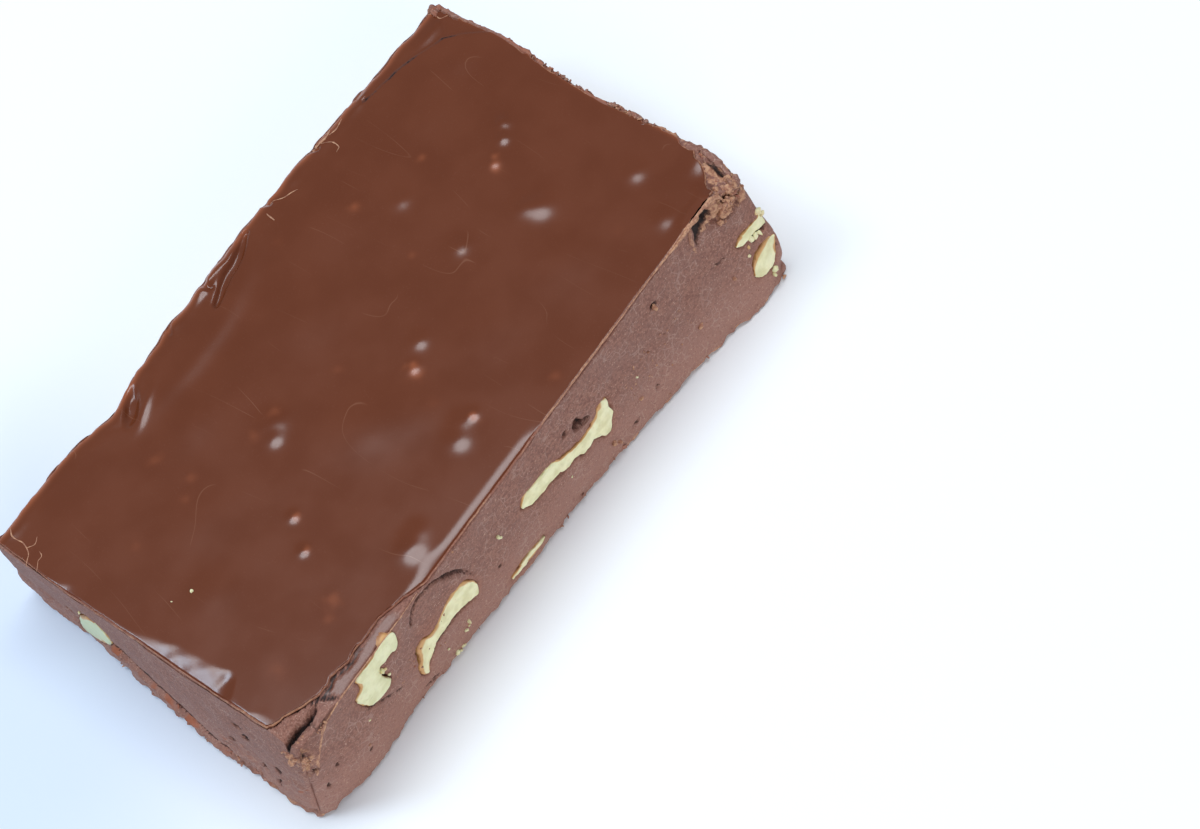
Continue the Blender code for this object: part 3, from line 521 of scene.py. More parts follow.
def bare_level(points):
    """Height of the block over the even plane where no skin covers it, and how broken it is.

    A strip that sagged off the front left, a crevice and a chunk at that corner, and rubble
    at the front right corner and along the right end.
    """
    x, y = points[..., 0], points[..., 1]
    rubble = 0.75 * cobble(points, 1.5, 17) + 0.4 * cobble(points, 0.8, 18) + 0.15 * grain(points, 0.45, 19)
    lip = -WIDTH / 2.0 + np.interp(x, *np.array(SKIN_INSET["front"]).T)
    past = np.clip(lip - y, 0.0, 4.0)
    near = ease((-19.0 - x) / 4.0) * ease((-18.0 - y) / 2.0)
    chunk = ease((-38.5 - 0.66 * (y + 23.3) - x) / 0.35) * (y < -23.0)
    bank = ease((-38.9 - x) / 0.8) * (y > -23.75)
    strip = -0.34 - 0.15 * past
    facet = np.where(x > -41.5, -0.36 - 0.10 * past, -0.62 - 0.05 * past - 0.06 * (x + 41.5))
    slope = -0.16 - 0.55 * np.clip(past / np.maximum(lip + 23.4, 0.4), 0.0, 1.0) + 0.30 * rubble
    level = near * (bank * slope + (1.0 - bank) * (chunk * facet + (1.0 - chunk) * strip))
    at_front_corner = ease((x - 39.5) / 1.5) * ease((-19.5 - y) / 3.0)
    level += at_front_corner * (-0.75 + 0.9 * rubble)
    right_end = ease((x - 42.0) / 1.0) * (1.0 - at_front_corner) * ease((15.0 - y) / 2.0)
    level += right_end * (-0.12 + 0.32 * rubble + 0.25 * bell(y, -20.0, 2.5))
    broken = np.clip(at_front_corner + 0.8 * right_end, 0.0, 1.0)
    return level, broken, rubble, near


def block_relief(points, outward):
    """Move the even block's points out to the real surface and mark the kinds of surface.

    Walls get a crumb in four sizes, knife drags, pockets, hollows and splits.  The marks say
    where the skin is (poured and smooth), where shade is painted dark into gaps, pits,
    cracks, under edges and in low spots of rubble, where it is reddish and where it is pale
    and crumbly.
    """
    rows, columns = points.shape[:2]
    first_top = 3 + FOOT_ROWS + 1 + WALL_ROWS - 1
    gap = np.empty((rows, columns))
    gap[first_top:] = outside_outline(points[first_top:, :, :2].reshape(-1, 2), skin_rim[::4]).reshape(-1, columns)
    gap[:first_top] = gap[first_top]
    level, broken, rubble, near = bare_level(points)
    bare = ease((gap - 0.02) / 0.16)
    x, y = points[..., 0], points[..., 1]
    crevice = np.zeros_like(gap)
    cracked = np.zeros_like(gap)
    flat = points[first_top:, :, :2].reshape(-1, 2)
    for split, deep in [(CREVICE, 1.5), (CRACKS[-1], 0.8)] + [(crack, 0.2) for crack in CRACKS[:-1]]:
        beside = beside_path(flat, split).reshape(-1, columns) + 0.07 * grain(points[first_top:], 0.6, 48)
        crevice[first_top:] = np.maximum(crevice[first_top:], deep * ease((0.15 - beside) / 0.4))
        cracked[first_top:] = np.maximum(cracked[first_top:], np.clip(0.5 - beside / 0.8, 0.0, 1.0))
    crevice[:first_top] = crevice[first_top]
    cracked[:first_top] = cracked[first_top]
    skin_top = skin_height(x, y)
    sunk = SUNK + (SUNK_LEFT - SUNK) * ease((-41.0 - x) / 3.0)
    inner = ease((BORDER - 1.0 - (LENGTH / 2.0 - np.abs(x))) / 1.0) + ease((BORDER - 1.0 - (WIDTH / 2.0 - np.abs(y))) / 1.0)
    covered = skin_top - sunk - 1.2 * (1.0 - np.clip(inner, 0.0, 1.0))
    over = covered * (1.0 - bare) + (0.6 * skin_top * (1.0 - near) + level - crevice) * bare
    near_top = np.clip((points[..., 2] - 15.0) / (HEIGHT - 15.0), 0.0, 1.0)
    even = points.copy()
    even[..., 2] += over * near_top
    z = even[..., 2]

    topness = np.clip(outward[..., 2], 0.0, 1.0)
    wallness = np.clip(1.0 - np.abs(outward[..., 2]), 0.0, 1.0) ** 0.5
    plan = outward[..., :2] / np.maximum(np.linalg.norm(outward[..., :2], axis=-1, keepdims=True), 1e-9)
    facing = {"front": -plan[..., 1], "back": plan[..., 1], "left": -plan[..., 0], "right": plan[..., 0]}
    facing = {wall: np.clip(value, 0.0, 1.0) ** 2 * wallness for wall, value in facing.items()}
    along = {"front": x, "back": x, "left": y, "right": y}

    def over_wall(wall, measure):
        """Work a measure out only where the surface faces the wall, and 99 elsewhere."""
        found = np.full(x.shape, 99.0)
        here = facing[wall] > 0.02
        found[here] = measure(np.stack([along[wall][here], z[here]], axis=1))
        return found

    crumb = 0.13 * grain(even, 5.0, 1) + 0.07 * grain(even, 2.1, 2)
    crumb += 0.035 * grain(even, 0.95, 3) + 0.02 * grain(even, 0.5, 4)
    pits = np.clip(grain(even, 0.9, 5) - 0.72, 0.0, 1.0)
    relief = wallness * (crumb - 0.5 * pits)
    # Painted shade: the pits are darkened as well as sunk.
    painted_shade = 0.45 * ease(pits * 4.0) * wallness
    warm = np.zeros_like(x)
    dry = np.zeros_like(x)

    foot = np.clip(1.0 - z / 3.0, 0.0, 1.0) * (1.0 - topness)
    ragged = 0.22 * grain(even, 2.6, 6) + 0.24 * grain(even, 1.1, 7) + 0.16 * grain(even, 0.5, 8)
    relief += foot * (ragged - 0.1)
    dry = np.maximum(dry, 0.7 * ease((1.1 - z) / 0.7) * ease(0.2 + 2.2 * grain(even, 1.3, 27)) * wallness)
    drag = np.sin((x + 0.035 * (z - 3.0) ** 2) * 4.2 + 2.4 * grain(even, 2.0, 9))
    relief += 0.06 * drag * bell(x, 23.0, 10.0) * bell(z, 7.0, 7.0) * facing["front"]
    drag = np.sin((y - 0.03 * (z - 6.0) ** 2) * 2.9 + 1.8 * grain(even, 3.0, 10))
    relief += 0.045 * drag * (facing["right"] + 0.6 * facing["back"] * bell(x, 0.0, 20.0))

    wander = 0.10 * grain(even, 0.8, 11)
    for wall, stations, _, _, gaps in WALNUTS.values():
        edges = smooth_path(stations, 70)
        outline = np.vstack([edges[:, :2], edges[::-1, 2:]])
        outside = over_wall(wall, lambda spots: outside_outline(spots, outline)) + wander
        inside = ease((0.10 - outside) / 0.25) * facing[wall]
        relief -= 1.1 * inside + 0.07 * bell(outside, 0.3, 0.35) * facing[wall]
        # Painted shade: a dark band round each piece's outline.
        painted_shade = np.maximum(painted_shade, np.clip(0.46 - outside / 0.8, 0.0, 0.8) * (facing[wall] > 0.3))
        warm = np.maximum(warm, 0.22 * bell(outside, 0.35, 0.7) * facing[wall])
        for start, stop, hand, width in gaps:
            side = edges[int(start * 69):int(stop * 69) + 1, :2] if hand > 0 else edges[
                int(start * 69):int(stop * 69) + 1, 2:]
            taper = np.sin(np.linspace(0.15, math.pi - 0.15, len(side)))[:, None] ** 0.5
            line = np.hstack([side, width * taper])
            beside = over_wall(wall, lambda spots: beside_path(spots, line)) + 1.5 * wander
            cut = ease((0.12 - beside) / 0.22) * facing[wall]
            relief -= 0.8 * cut
            # Painted shade along each gap beside the piece.
            painted_shade = np.maximum(painted_shade, np.clip(0.54 - beside / 0.8, 0.0, 1.0) * (facing[wall] > 0.3))
    for wall, dents in HOLLOWS.items():
        for middle, height, long_half, short_half, turn, depth in dents:
            share = oval(along[wall], z, middle, height, long_half, short_half, turn) + 2.0 * wander
            relief -= depth * ease((share + 0.15) / 0.35) * facing[wall]
            # Painted shade inside each hollow.
            share = np.clip(0.54 + share * short_half / 0.8, 0.0, 1.0) * (share > -2.0)
            painted_shade = np.maximum(painted_shade, share * (facing[wall] > 0.3))
    for split, depth in ((SPLIT_ARC, 0.7), (RIM_HOLE, 0.6)):
        beside = over_wall("front", lambda spots: beside_path(spots, split)) + 0.6 * wander
        relief -= depth * ease((0.16 - beside) / 0.28) * facing["front"]
        # Painted shade along the split.
        painted_shade = np.maximum(painted_shade, np.clip(0.58 - beside / 0.8, 0.0, 1.0) * (facing["front"] > 0.3))
    dome = ease(oval(x, z, -19.8, 12.8, 5.2, 6.0, 0) / 0.35) * facing["front"] * ease((17.5 - z) / 2.0)
    relief += 0.12 * dome
    warm = np.maximum(warm, 0.28 * dome * ease((15.5 - z) / 4.0))

    ridge = np.interp(z, *np.array(RIDGE).T)
    past_ridge = np.clip(ridge - x, 0.0, 3.2) * wallness
    relief -= past_ridge * (0.42 * ease(facing["front"] * 1.6) + 0.10 * ease(facing["left"]) * bell(y, -25.5, 1.5))
    on_ridge = bell(x, ridge, 0.22) * facing["front"] * ease((z - 9.5) / 1.5)
    relief += 0.07 * on_ridge
    dry = np.maximum(dry, 0.75 * on_ridge)
    near_corner = bell(x + 45.0, 0.8, 1.3) * bell(y, -WIDTH / 2.0, 2.4) * bell(z, 14.4, 3.2) * wallness
    relief += near_corner * 0.55 * rubble
    dry = np.maximum(dry, near_corner * ease(0.9 + 1.8 * rubble))
    # Painted shade in the low spots of the corner's rubble.
    painted_shade = np.maximum(painted_shade, near_corner * ease(-1.8 * rubble - 0.5))

    ledge = np.interp(y, *np.array(LEDGE).T) + 0.45 * grain(even, 1.7, 14) + 0.2 * grain(even, 0.7, 28)
    below = ease((ledge - z) / 0.35) * facing["left"]
    lumps = 0.26 * grain(even, 1.5, 15) + 0.20 * grain(even, 0.7, 16)
    relief += below * (0.15 + lumps) - 0.42 * (1.0 - below) * facing["left"] * ease((9.0 - y) / 3.0) * ease(
        (ledge + 3.5 - z) / 3.5)
    on_ledge = facing["left"] * ease((9.0 - y) / 2.0) * ease((y + 14.0) / 2.0)
    relief += 0.22 * bell(z, ledge - 0.5, 0.6) * on_ledge
    # Painted shadow: a dark line along the top of the step in the left end, where it lies in shade.
    painted_shade = np.maximum(painted_shade, 0.7 * bell(z, ledge + 0.3, 0.32) * on_ledge)
    # Painted shade in the low lumps under the ledge.
    painted_shade = np.maximum(painted_shade, 0.6 * below * ease(-4.0 * lumps - 0.3))
    warm = np.maximum(warm, 0.95 * bell(z, ledge - 0.25, 0.55) * on_ledge * ease(0.2 + 2.8 * grain(even, 1.2, 29)))
    crumbly = facing["left"] * ease((-9.0 - y) / 3.0) * ease((10.5 - z) / 3.0)
    relief += crumbly * (lumps + 0.1 * rubble)
    warm = np.maximum(warm, 0.7 * crumbly * ease(3.0 * grain(even, 1.0, 35) - 1.3))

    high = np.interp(x, [34.5, 36.0, 40.5, 44.5], [18.6, 17.2, 14.8, 14.6])
    wall_break = ease((z - high) / 0.8) * ease((x - 34.8) / 1.2) * facing["front"]
    relief += wall_break * (0.75 * rubble - 0.45)
    end_break = ease((z - 16.6 - 1.2 * bell(y, -8.0, 6.0)) / 1.2) * ease((-14.0 - y) / 5.0) * facing["right"]
    end_break += ease((z - 18.6) / 0.6) * facing["right"]
    relief += np.clip(end_break, 0.0, 1.0) * (0.45 * rubble - 0.1)
    broken = np.maximum(np.clip(wall_break + end_break, 0.0, 1.0), broken * bare * topness)
    right_rim = broken * ease((y + 14.0) / 4.0) * (x > 40.0)
    dry = np.maximum(dry, (broken - 0.65 * right_rim) * ease(0.55 + 1.3 * rubble))
    warm = np.maximum(warm, 0.75 * right_rim)
    # Painted shade in the low spots of the broken rubble.
    painted_shade = np.maximum(painted_shade, broken * ease(-1.5 * rubble - 0.55))
    low_corner = bell(x, 45.0, 2.2) * bell(y, -WIDTH / 2.0, 2.2) * wallness
    relief += low_corner * (0.5 * bell(z, 7.0, 3.0) - 1.3 * ease((4.0 - z) / 4.0))

    relief *= 1.0 - topness
    moved = even + outward * relief[..., None]
    moved[..., 2] = np.where(outward[..., 2] < -0.99, 0.0, moved[..., 2])
    # Painted shade: dark in the cracks and crevice of the bare top, along the bare top next to the skin's lip, and on
    # the block's top under the skin.
    shade_beside_lip = ease((0.35 - gap) / 0.3) * bare * topness
    painted_shade = np.maximum(painted_shade, cracked * bare * near_top ** 3)
    painted_shade = np.maximum(painted_shade, 0.45 * shade_beside_lip * ease((-22.0 - x) / 4.0) * ease(0.6 + 1.5 * grain(even, 0.9, 46)))
    painted_shade = np.where(gap < 0.0, np.maximum(painted_shade, 0.5 * topness), painted_shade)
    strip = ease((-23.0 - x) / 3.0) * ease((-20.0 - y) / 1.0) * ease((x + 38.7 + 0.66 * (y + 23.3)) / 0.5)
    skin = 0.57 * topness * bare * strip
    return moved, {"skin": skin, "painted_shade": painted_shade, "warm": warm, "dry": dry}


def put_mesh(name, points, faces, marks, finish):
    """Make a smooth object from points in mm, held inside the solid's box, with its marks."""
    held = np.clip(points.reshape(-1, 3), box_low, box_high)
    mesh = bpy.data.meshes.new(name)
    mesh.from_pydata((held * MM).tolist(), [], faces)
    mesh.shade_smooth()
    for mark, values in marks.items():
        mesh.attributes.new(mark, "FLOAT", "POINT").data.foreach_set("value", values.ravel().astype(np.float32))
    mesh.materials.append(finish)
    piece = bpy.data.objects.new(name, mesh)
    bpy.context.scene.collection.objects.link(piece)
    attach(piece, "root")
    return piece


def add_node(tree, kind, inputs=(), **settings):
    """Add a shader node with its settings, and set or link its inputs."""
    node = tree.nodes.new(kind)
    for name, value in settings.items():
        setattr(node, name, value)
    for name, value in dict(inputs).items():
        if isinstance(value, bpy.types.NodeSocket):
            tree.links.new(value, node.inputs[name])
        else:
            node.inputs[name].default_value = value
    return node


def blend_colour(tree, share, first, second):
    """Colour that goes from first to second as the share goes from 0 to 1."""
    first, second = (colour if isinstance(colour, bpy.types.NodeSocket) else (*colour, 1.0)
                     for colour in (first, second))
    return add_node(tree, "ShaderNodeMix", {0: share, 6: first, 7: second}, data_type="RGBA").outputs[2]


def band(tree, value, low, high, start=0.0, end=1.0):
    """Smoothly map a value between low and high to between start and end."""
    return add_node(tree, "ShaderNodeMapRange", {"Value": value, "From Min": low, "From Max": high,
                                                 "To Min": start, "To Max": end},
                    interpolation_type="SMOOTHSTEP").outputs["Result"]


def speckle(tree, place, size, detail=2.0, roughness=0.5):
    """Noise from 0 to 1 whose features have about the given size in mm."""
    return add_node(tree, "ShaderNodeTexNoise", {"Vector": place, "Scale": 1.0 / (size * MM),
                                                 "Detail": detail, "Roughness": roughness}).outputs["Fac"]


def start_finish(name):
    """Empty Principled material: its tree, its shader and the Object coordinates."""
    finish = bpy.data.materials.new(name)
    finish.use_nodes = True
    tree = finish.node_tree
    return finish, tree, tree.nodes["Principled BSDF"], add_node(tree, "ShaderNodeTexCoord").outputs["Object"]


def mark_value(tree, name):
    """The value of one of a piece's marks."""
    return add_node(tree, "ShaderNodeAttribute", attribute_name=name).outputs["Fac"]


def fudge_finish():
    """Chocolate fudge: satin red-brown skin on top, matte pinkish grey-brown crumb at cuts."""
    finish, tree, shader, place = start_finish("chocolate fudge")
    skin = band(tree, mark_value(tree, "skin"), 0.35, 0.65)
    # The mark that says where shade is painted dark.
    painted_shade = mark_value(tree, "painted_shade")
    warm = mark_value(tree, "warm")
    dry = mark_value(tree, "dry")
    broad = speckle(tree, place, 6.0)
    crumb = speckle(tree, place, 0.45, 5.0, 0.7)
    dust = speckle(tree, place, 0.22, 2.0, 0.5)
    cut = blend_colour(tree, band(tree, crumb, 0.38, 0.62), (0.196, 0.074, 0.050), (0.318, 0.146, 0.104))
    cut = blend_colour(tree, band(tree, broad, 0.35, 0.7, 0.0, 0.45), cut, (0.256, 0.126, 0.099))
    low = band(tree, add_node(tree, "ShaderNodeSeparateXYZ", {"Vector": place}).outputs["Z"], 0.012, 0.001)
    cut = blend_colour(tree, add_node(tree, "ShaderNodeMath", {0: low, 1: 0.6}, operation="MULTIPLY").outputs[0],
                       cut, (0.42, 0.215, 0.165))
    bent = add_node(tree, "ShaderNodeVectorMath", {0: place, 1: (0.0006, 0.0006, 0.0006)},
                    operation="MULTIPLY_ADD")
    swirl = add_node(tree, "ShaderNodeTexNoise", {"Vector": place, "Scale": 500.0, "Detail": 1.0}).outputs["Color"]
    tree.links.new(swirl, bent.inputs[0])
    tree.links.new(place, bent.inputs[2])
    web = add_node(tree, "ShaderNodeTexVoronoi", {"Vector": bent.outputs["Vector"], "Scale": 750.0},
                   feature="DISTANCE_TO_EDGE").outputs["Distance"]
    patchy = band(tree, speckle(tree, place, 3.0), 0.42, 0.62, 0.0, 0.38)
    web = add_node(tree, "ShaderNodeMath", {0: band(tree, web, 0.07, 0.0), 1: patchy}, operation="MULTIPLY").outputs[0]
    cut = blend_colour(tree, web, cut, (0.50, 0.33, 0.27))
    cut = blend_colour(tree, band(tree, dust, 0.62, 0.70, 0.0, 0.6), cut, (0.56, 0.36, 0.27))
    cut = blend_colour(tree, band(tree, dust, 0.38, 0.30, 0.0, 0.6), cut, (0.14, 0.040, 0.026))
    poured = blend_colour(tree, band(tree, broad, 0.3, 0.7), (0.126, 0.0290, 0.0090), (0.138, 0.0330, 0.0110))
    poured = blend_colour(tree, band(tree, dust, 0.6, 0.75, 0.0, 0.12), poured, (0.25, 0.10, 0.06))
    scratch = add_node(tree, "ShaderNodeMapping", {"Vector": place, "Rotation": (0.0, 0.0, 0.7),
                                                   "Scale": (1.0, 0.25, 1.0)}).outputs["Vector"]
    scratch = add_node(tree, "ShaderNodeMath", {0: speckle(tree, scratch, 5.0, 0.0), 1: 0.5},
                       operation="SUBTRACT").outputs[0]
    scratch = add_node(tree, "ShaderNodeMath", {0: scratch}, operation="ABSOLUTE").outputs[0]
    sparse = band(tree, speckle(tree, place, 7.0, 1.0), 0.54, 0.64, 0.0, 0.24)
    scratch = add_node(tree, "ShaderNodeMath", {0: band(tree, scratch, 0.004, 0.0), 1: sparse},
                       operation="MULTIPLY").outputs[0]
    poured = blend_colour(tree, scratch, poured, (0.36, 0.17, 0.10))
    colour = blend_colour(tree, skin, cut, poured)
    torn = add_node(tree, "ShaderNodeMath", {0: speckle(tree, place, 0.5, 3.0, 0.6), 1: 0.7, 2: -0.35},
                    operation="MULTIPLY_ADD").outputs[0]
    torn_painted_shade = add_node(tree, "ShaderNodeMath", {0: painted_shade, 1: torn}, operation="ADD").outputs[0]
    torn_dry = add_node(tree, "ShaderNodeMath", {0: dry, 1: torn}, operation="ADD").outputs[0]
    colour = blend_colour(tree, band(tree, warm, 0.0, 1.0, 0.0, 0.8), colour, (0.38, 0.105, 0.042))
    pale = blend_colour(tree, band(tree, crumb, 0.38, 0.62), (0.36, 0.150, 0.088), (0.62, 0.345, 0.20))
    colour = blend_colour(tree, band(tree, torn_dry, 0.28, 0.62, 0.0, 0.85), colour, pale)
    # Painted shade: where the shade mark is high, the colour goes to dark brown and then to near black.
    colour = blend_colour(tree, band(tree, torn_painted_shade, 0.40, 0.52, 0.0, 0.85), colour, (0.085, 0.028, 0.018))
    colour = blend_colour(tree, band(tree, torn_painted_shade, 0.55, 0.72), colour, (0.018, 0.006, 0.004))
    tree.links.new(colour, shader.inputs["Base Color"])
    cut_rough = band(tree, crumb, 0.3, 0.7, 0.60, 0.78)
    top_rough = band(tree, broad, 0.3, 0.7, 0.185, 0.215)
    rough = add_node(tree, "ShaderNodeMix", {0: skin, 2: cut_rough, 3: top_rough}, data_type="FLOAT").outputs[0]
    tree.links.new(rough, shader.inputs["Roughness"])
    shader.inputs["IOR"].default_value = 1.46
    grit = add_node(tree, "ShaderNodeMix", {0: skin, 2: 0.9, 3: 0.02}, data_type="FLOAT").outputs[0]
    coarse = add_node(tree, "ShaderNodeBump", {"Height": crumb, "Strength": grit, "Distance": 0.00010})
    fine = add_node(tree, "ShaderNodeBump", {"Height": dust, "Strength": grit, "Distance": 0.00004,
                                             "Normal": coarse.outputs["Normal"]})
    tree.links.new(fine.outputs["Normal"], shader.inputs["Normal"])
    return finish


fudge_look = fudge_finish()
block_even, block_outward = block_grid()
block_points, block_marks = block_relief(block_even, block_outward)
block_ends = np.array([[0.0, 0.0, 0.0], [0.0, 0.0, HEIGHT - 1.6]])
block_points = cut_by_hand(np.vstack([block_points.reshape(-1, 3), block_ends]))
block_marks = {mark: np.append(values.ravel(), [0.0, 0.0]) for mark, values in block_marks.items()}
block = put_mesh("fudge_block", block_points, ring_faces(*block_even.shape[:2]), block_marks, fudge_look)
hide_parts("fudge")

# ---------------------------------------------------------------------------------------
# The poured skin.  The top set against the air as a smooth satin skin half a millimetre
# thick.  It stops in a ragged lip over the crevice, at the broken corners and along the
# right end, and swells where it lies over walnut pieces.
# ---------------------------------------------------------------------------------------
# Rows down the skin's edge: how far outside the grid's last line, and how far down
EDGE_ROWS = [(0.10, 0.03), (0.14, 0.13), (0.14, 0.30), (0.10, 0.42), (0.02, 0.52), (-0.9, 0.56)]
EDGE_PALE = [0.42, 0.75, 0.35, 0.15, 0.05, 0.0]

# Reddish spots in the skin's colour: x, y, radius, strength
WARM_SPOTS = [
    (-25.7, 15.0, 1.3, 0.30), (-35.7, 8.8, 1.2, 0.22), (-25.1, 8.9, 1.1, 0.30), (-27.6, 7.5, 1.0, 0.25),
    (15.2, 14.4, 1.1, 0.45), (25.2, 11.4, 1.0, 0.40), (13.6, 3.6, 1.0, 0.30), (-3.9, 1.8, 1.0, 0.25),
    (-38.6, -17.0, 1.4, 0.25), (-28.2, -17.2, 1.4, 0.40), (-30.4, -18.4, 1.1, 0.30), (9.6, -23.1, 1.1, 0.32),
    (-1.4, -11.9, 1.3, 0.18), (0.8, -7.2, 1.2, 0.75), (1.6, -6.3, 0.9, 0.5), (29.4, 1.9, 1.2, 0.70),
    (30.6, 2.9, 0.9, 0.5), (-0.2, -17.6, 0.9, 0.80), (-12.6, 5.2, 1.2, 0.35), (-16.6, 5.4, 1.2, 0.30),
    (-22.3, -6.4, 0.8, 0.70), (-25.0, -10.4, 0.8, 0.60), (6.0, 20.0, 1.2, 0.15), (30.0, -18.0, 1.4, 0.12)]


def skin_sheet():
    """Points, faces and marks of the skin: a fine grid, its edge turned down, and a floor.

    The grid follows skin_plan and skin_height.  Rows round its edge go out and down by
    EDGE_ROWS, and the floor, which lies inside the block, is a fan to a middle point.
    """
    nx, ny = SKIN_CELLS
    even_x, even_y = np.meshgrid(skin_x, skin_y, indexing="ij")
    x, y = skin_plan(even_x, even_y)
    rim_height = skin_height(x, y)
    grid = np.stack([x, y, HEIGHT + rim_height], axis=-1).reshape(-1, 3)
    index = np.arange((nx + 1) * (ny + 1)).reshape(nx + 1, ny + 1)
    cells = np.stack([index[:-1, :-1], index[1:, :-1], index[1:, 1:], index[:-1, 1:]], axis=-1).reshape(-1, 4)
    ring = np.concatenate([index[:-1, 0], index[-1, :-1], index[:0:-1, -1], index[0, :0:-1]])
    rim = grid[ring]
    ahead = np.roll(rim, -3, 0)[:, :2] - np.roll(rim, 3, 0)[:, :2]
    ahead /= np.linalg.norm(ahead, axis=1, keepdims=True)
    out = np.stack([ahead[:, 1], -ahead[:, 0]], axis=1)
    thick = 1.0 + 0.45 * ease((-43.0 - rim[:, 0]) / 1.5)
    rough = 0.05 * grain(rim, 0.9, 36)
    rows = [ring]
    points = [grid]
    for number, (away, down) in enumerate(EDGE_ROWS):
        row = rim.copy()
        reach = np.minimum(away - 0.14 + rough * (number < 5), 0.0)
        row[:, :2] += out * reach[:, None]
        row[:, 2] -= down * thick
        rows.append(len(grid) + number * len(ring) + np.arange(len(ring)))
        points.append(row)
    grid_rim = grid[ring]
    grid_rim[:, :2] -= out * 0.14
    grid[ring] = grid_rim
    points[0] = grid
    rows = np.array(rows)
    last = len(grid) + len(EDGE_ROWS) * len(ring)
    down = np.stack([rows[1:], np.roll(rows[1:], -1, 1), np.roll(rows[:-1], -1, 1), rows[:-1]], axis=-1)
    floor = np.stack([np.full(len(ring), last), np.roll(rows[-1], -1), rows[-1]], axis=-1)
    points = np.vstack(points + [[[0.0, 0.0, HEIGHT - 2.0]]])
    faces = cells.tolist() + down.reshape(-1, 4).tolist() + floor.tolist()

    x, y, _ = points.T
    pale = np.zeros(len(points))
    pale[ring] = 0.35
    on_edge = np.zeros(len(points))
    for row, share in zip(rows[1:], EDGE_PALE):
        pale[row] = share
        on_edge[row] = 1.0
    ring_pale = 0.55 + 0.6 * grain(points, 2.2, 37) + 0.5 * ease((x - 3.0) / 4.0) * ease((-20.0 - y) / 2.0)
    torn = ease((-24.0 - x) / 3.0) * ease((-15.0 - y) / 2.0) + ease((x - 43.0) / 1.0)
    pale *= np.clip(ring_pale + 0.5 * torn, 0.0, 1.2)
    # Painted glow: reddish light through the thin edge along the skin's back rim and its right end, and the back rim is
    # kept from going pale.  The turned-down edge rows are reddish too.
    back_rim_glow = bell(WIDTH / 2.0 - y, 0.0, 0.9)
    warm = 0.95 * back_rim_glow + 0.55 * bell(LENGTH / 2.0 - x, 0.0, 0.6) + 0.45 * on_edge
    pale *= 1.0 - 0.75 * back_rim_glow
    for middle_x, middle_y, radius, strength in WARM_SPOTS:
        wobble = 1.0 + 0.35 * grain(points * np.array([1.0, 1.0, 0.0]), 0.9, 40)
        warm += strength * bell(np.hypot(x - middle_x, y - middle_y) * wobble, 0.0, 0.75 * radius)
    skin = np.where(on_edge > 0.5, 0.0, 1.0)
    # Painted shade: a dark soft line along the crease across the far corner.
    crease_shade = bell(y, np.interp(x, *np.array(CREASE).T) + 0.2, 0.38) * ease((x - 26.0) / 3.0) * ease((44.6 - x) / 1.0)
    marks = {"skin": skin, "painted_shade": 0.66 * crease_shade * skin * (0.85 + 0.4 * grain(points, 1.6, 49)), "warm": np.clip(warm, 0.0, 1.0), "dry": pale}
    return points, faces, marks


skin_points, skin_faces, skin_marks = skin_sheet()
skin = put_mesh("fudge_skin", cut_by_hand(skin_points), skin_faces, skin_marks, fudge_look)

# ---------------------------------------------------------------------------------------
# Walnut pieces.  Halves were broken into the warm fudge, and the knife went through the
# ones that now lie open at the walls: a flat pale cut, with the kernel's tan husk at its
# edge.  The fudge holds them in their pockets.
# ---------------------------------------------------------------------------------------
KERNEL_RUNS = 120
KERNEL_TURNS = 60
# How green the cut of a piece is, from 0 to 1; the others are at 0.1.  The left chunk's full green is painted shade,
# for the cool shade at the left end; the fainter green is the kernels' own.
KERNEL_GREEN = {"walnut_front_hook": 0.3, "walnut_left_chunk": 1.0}


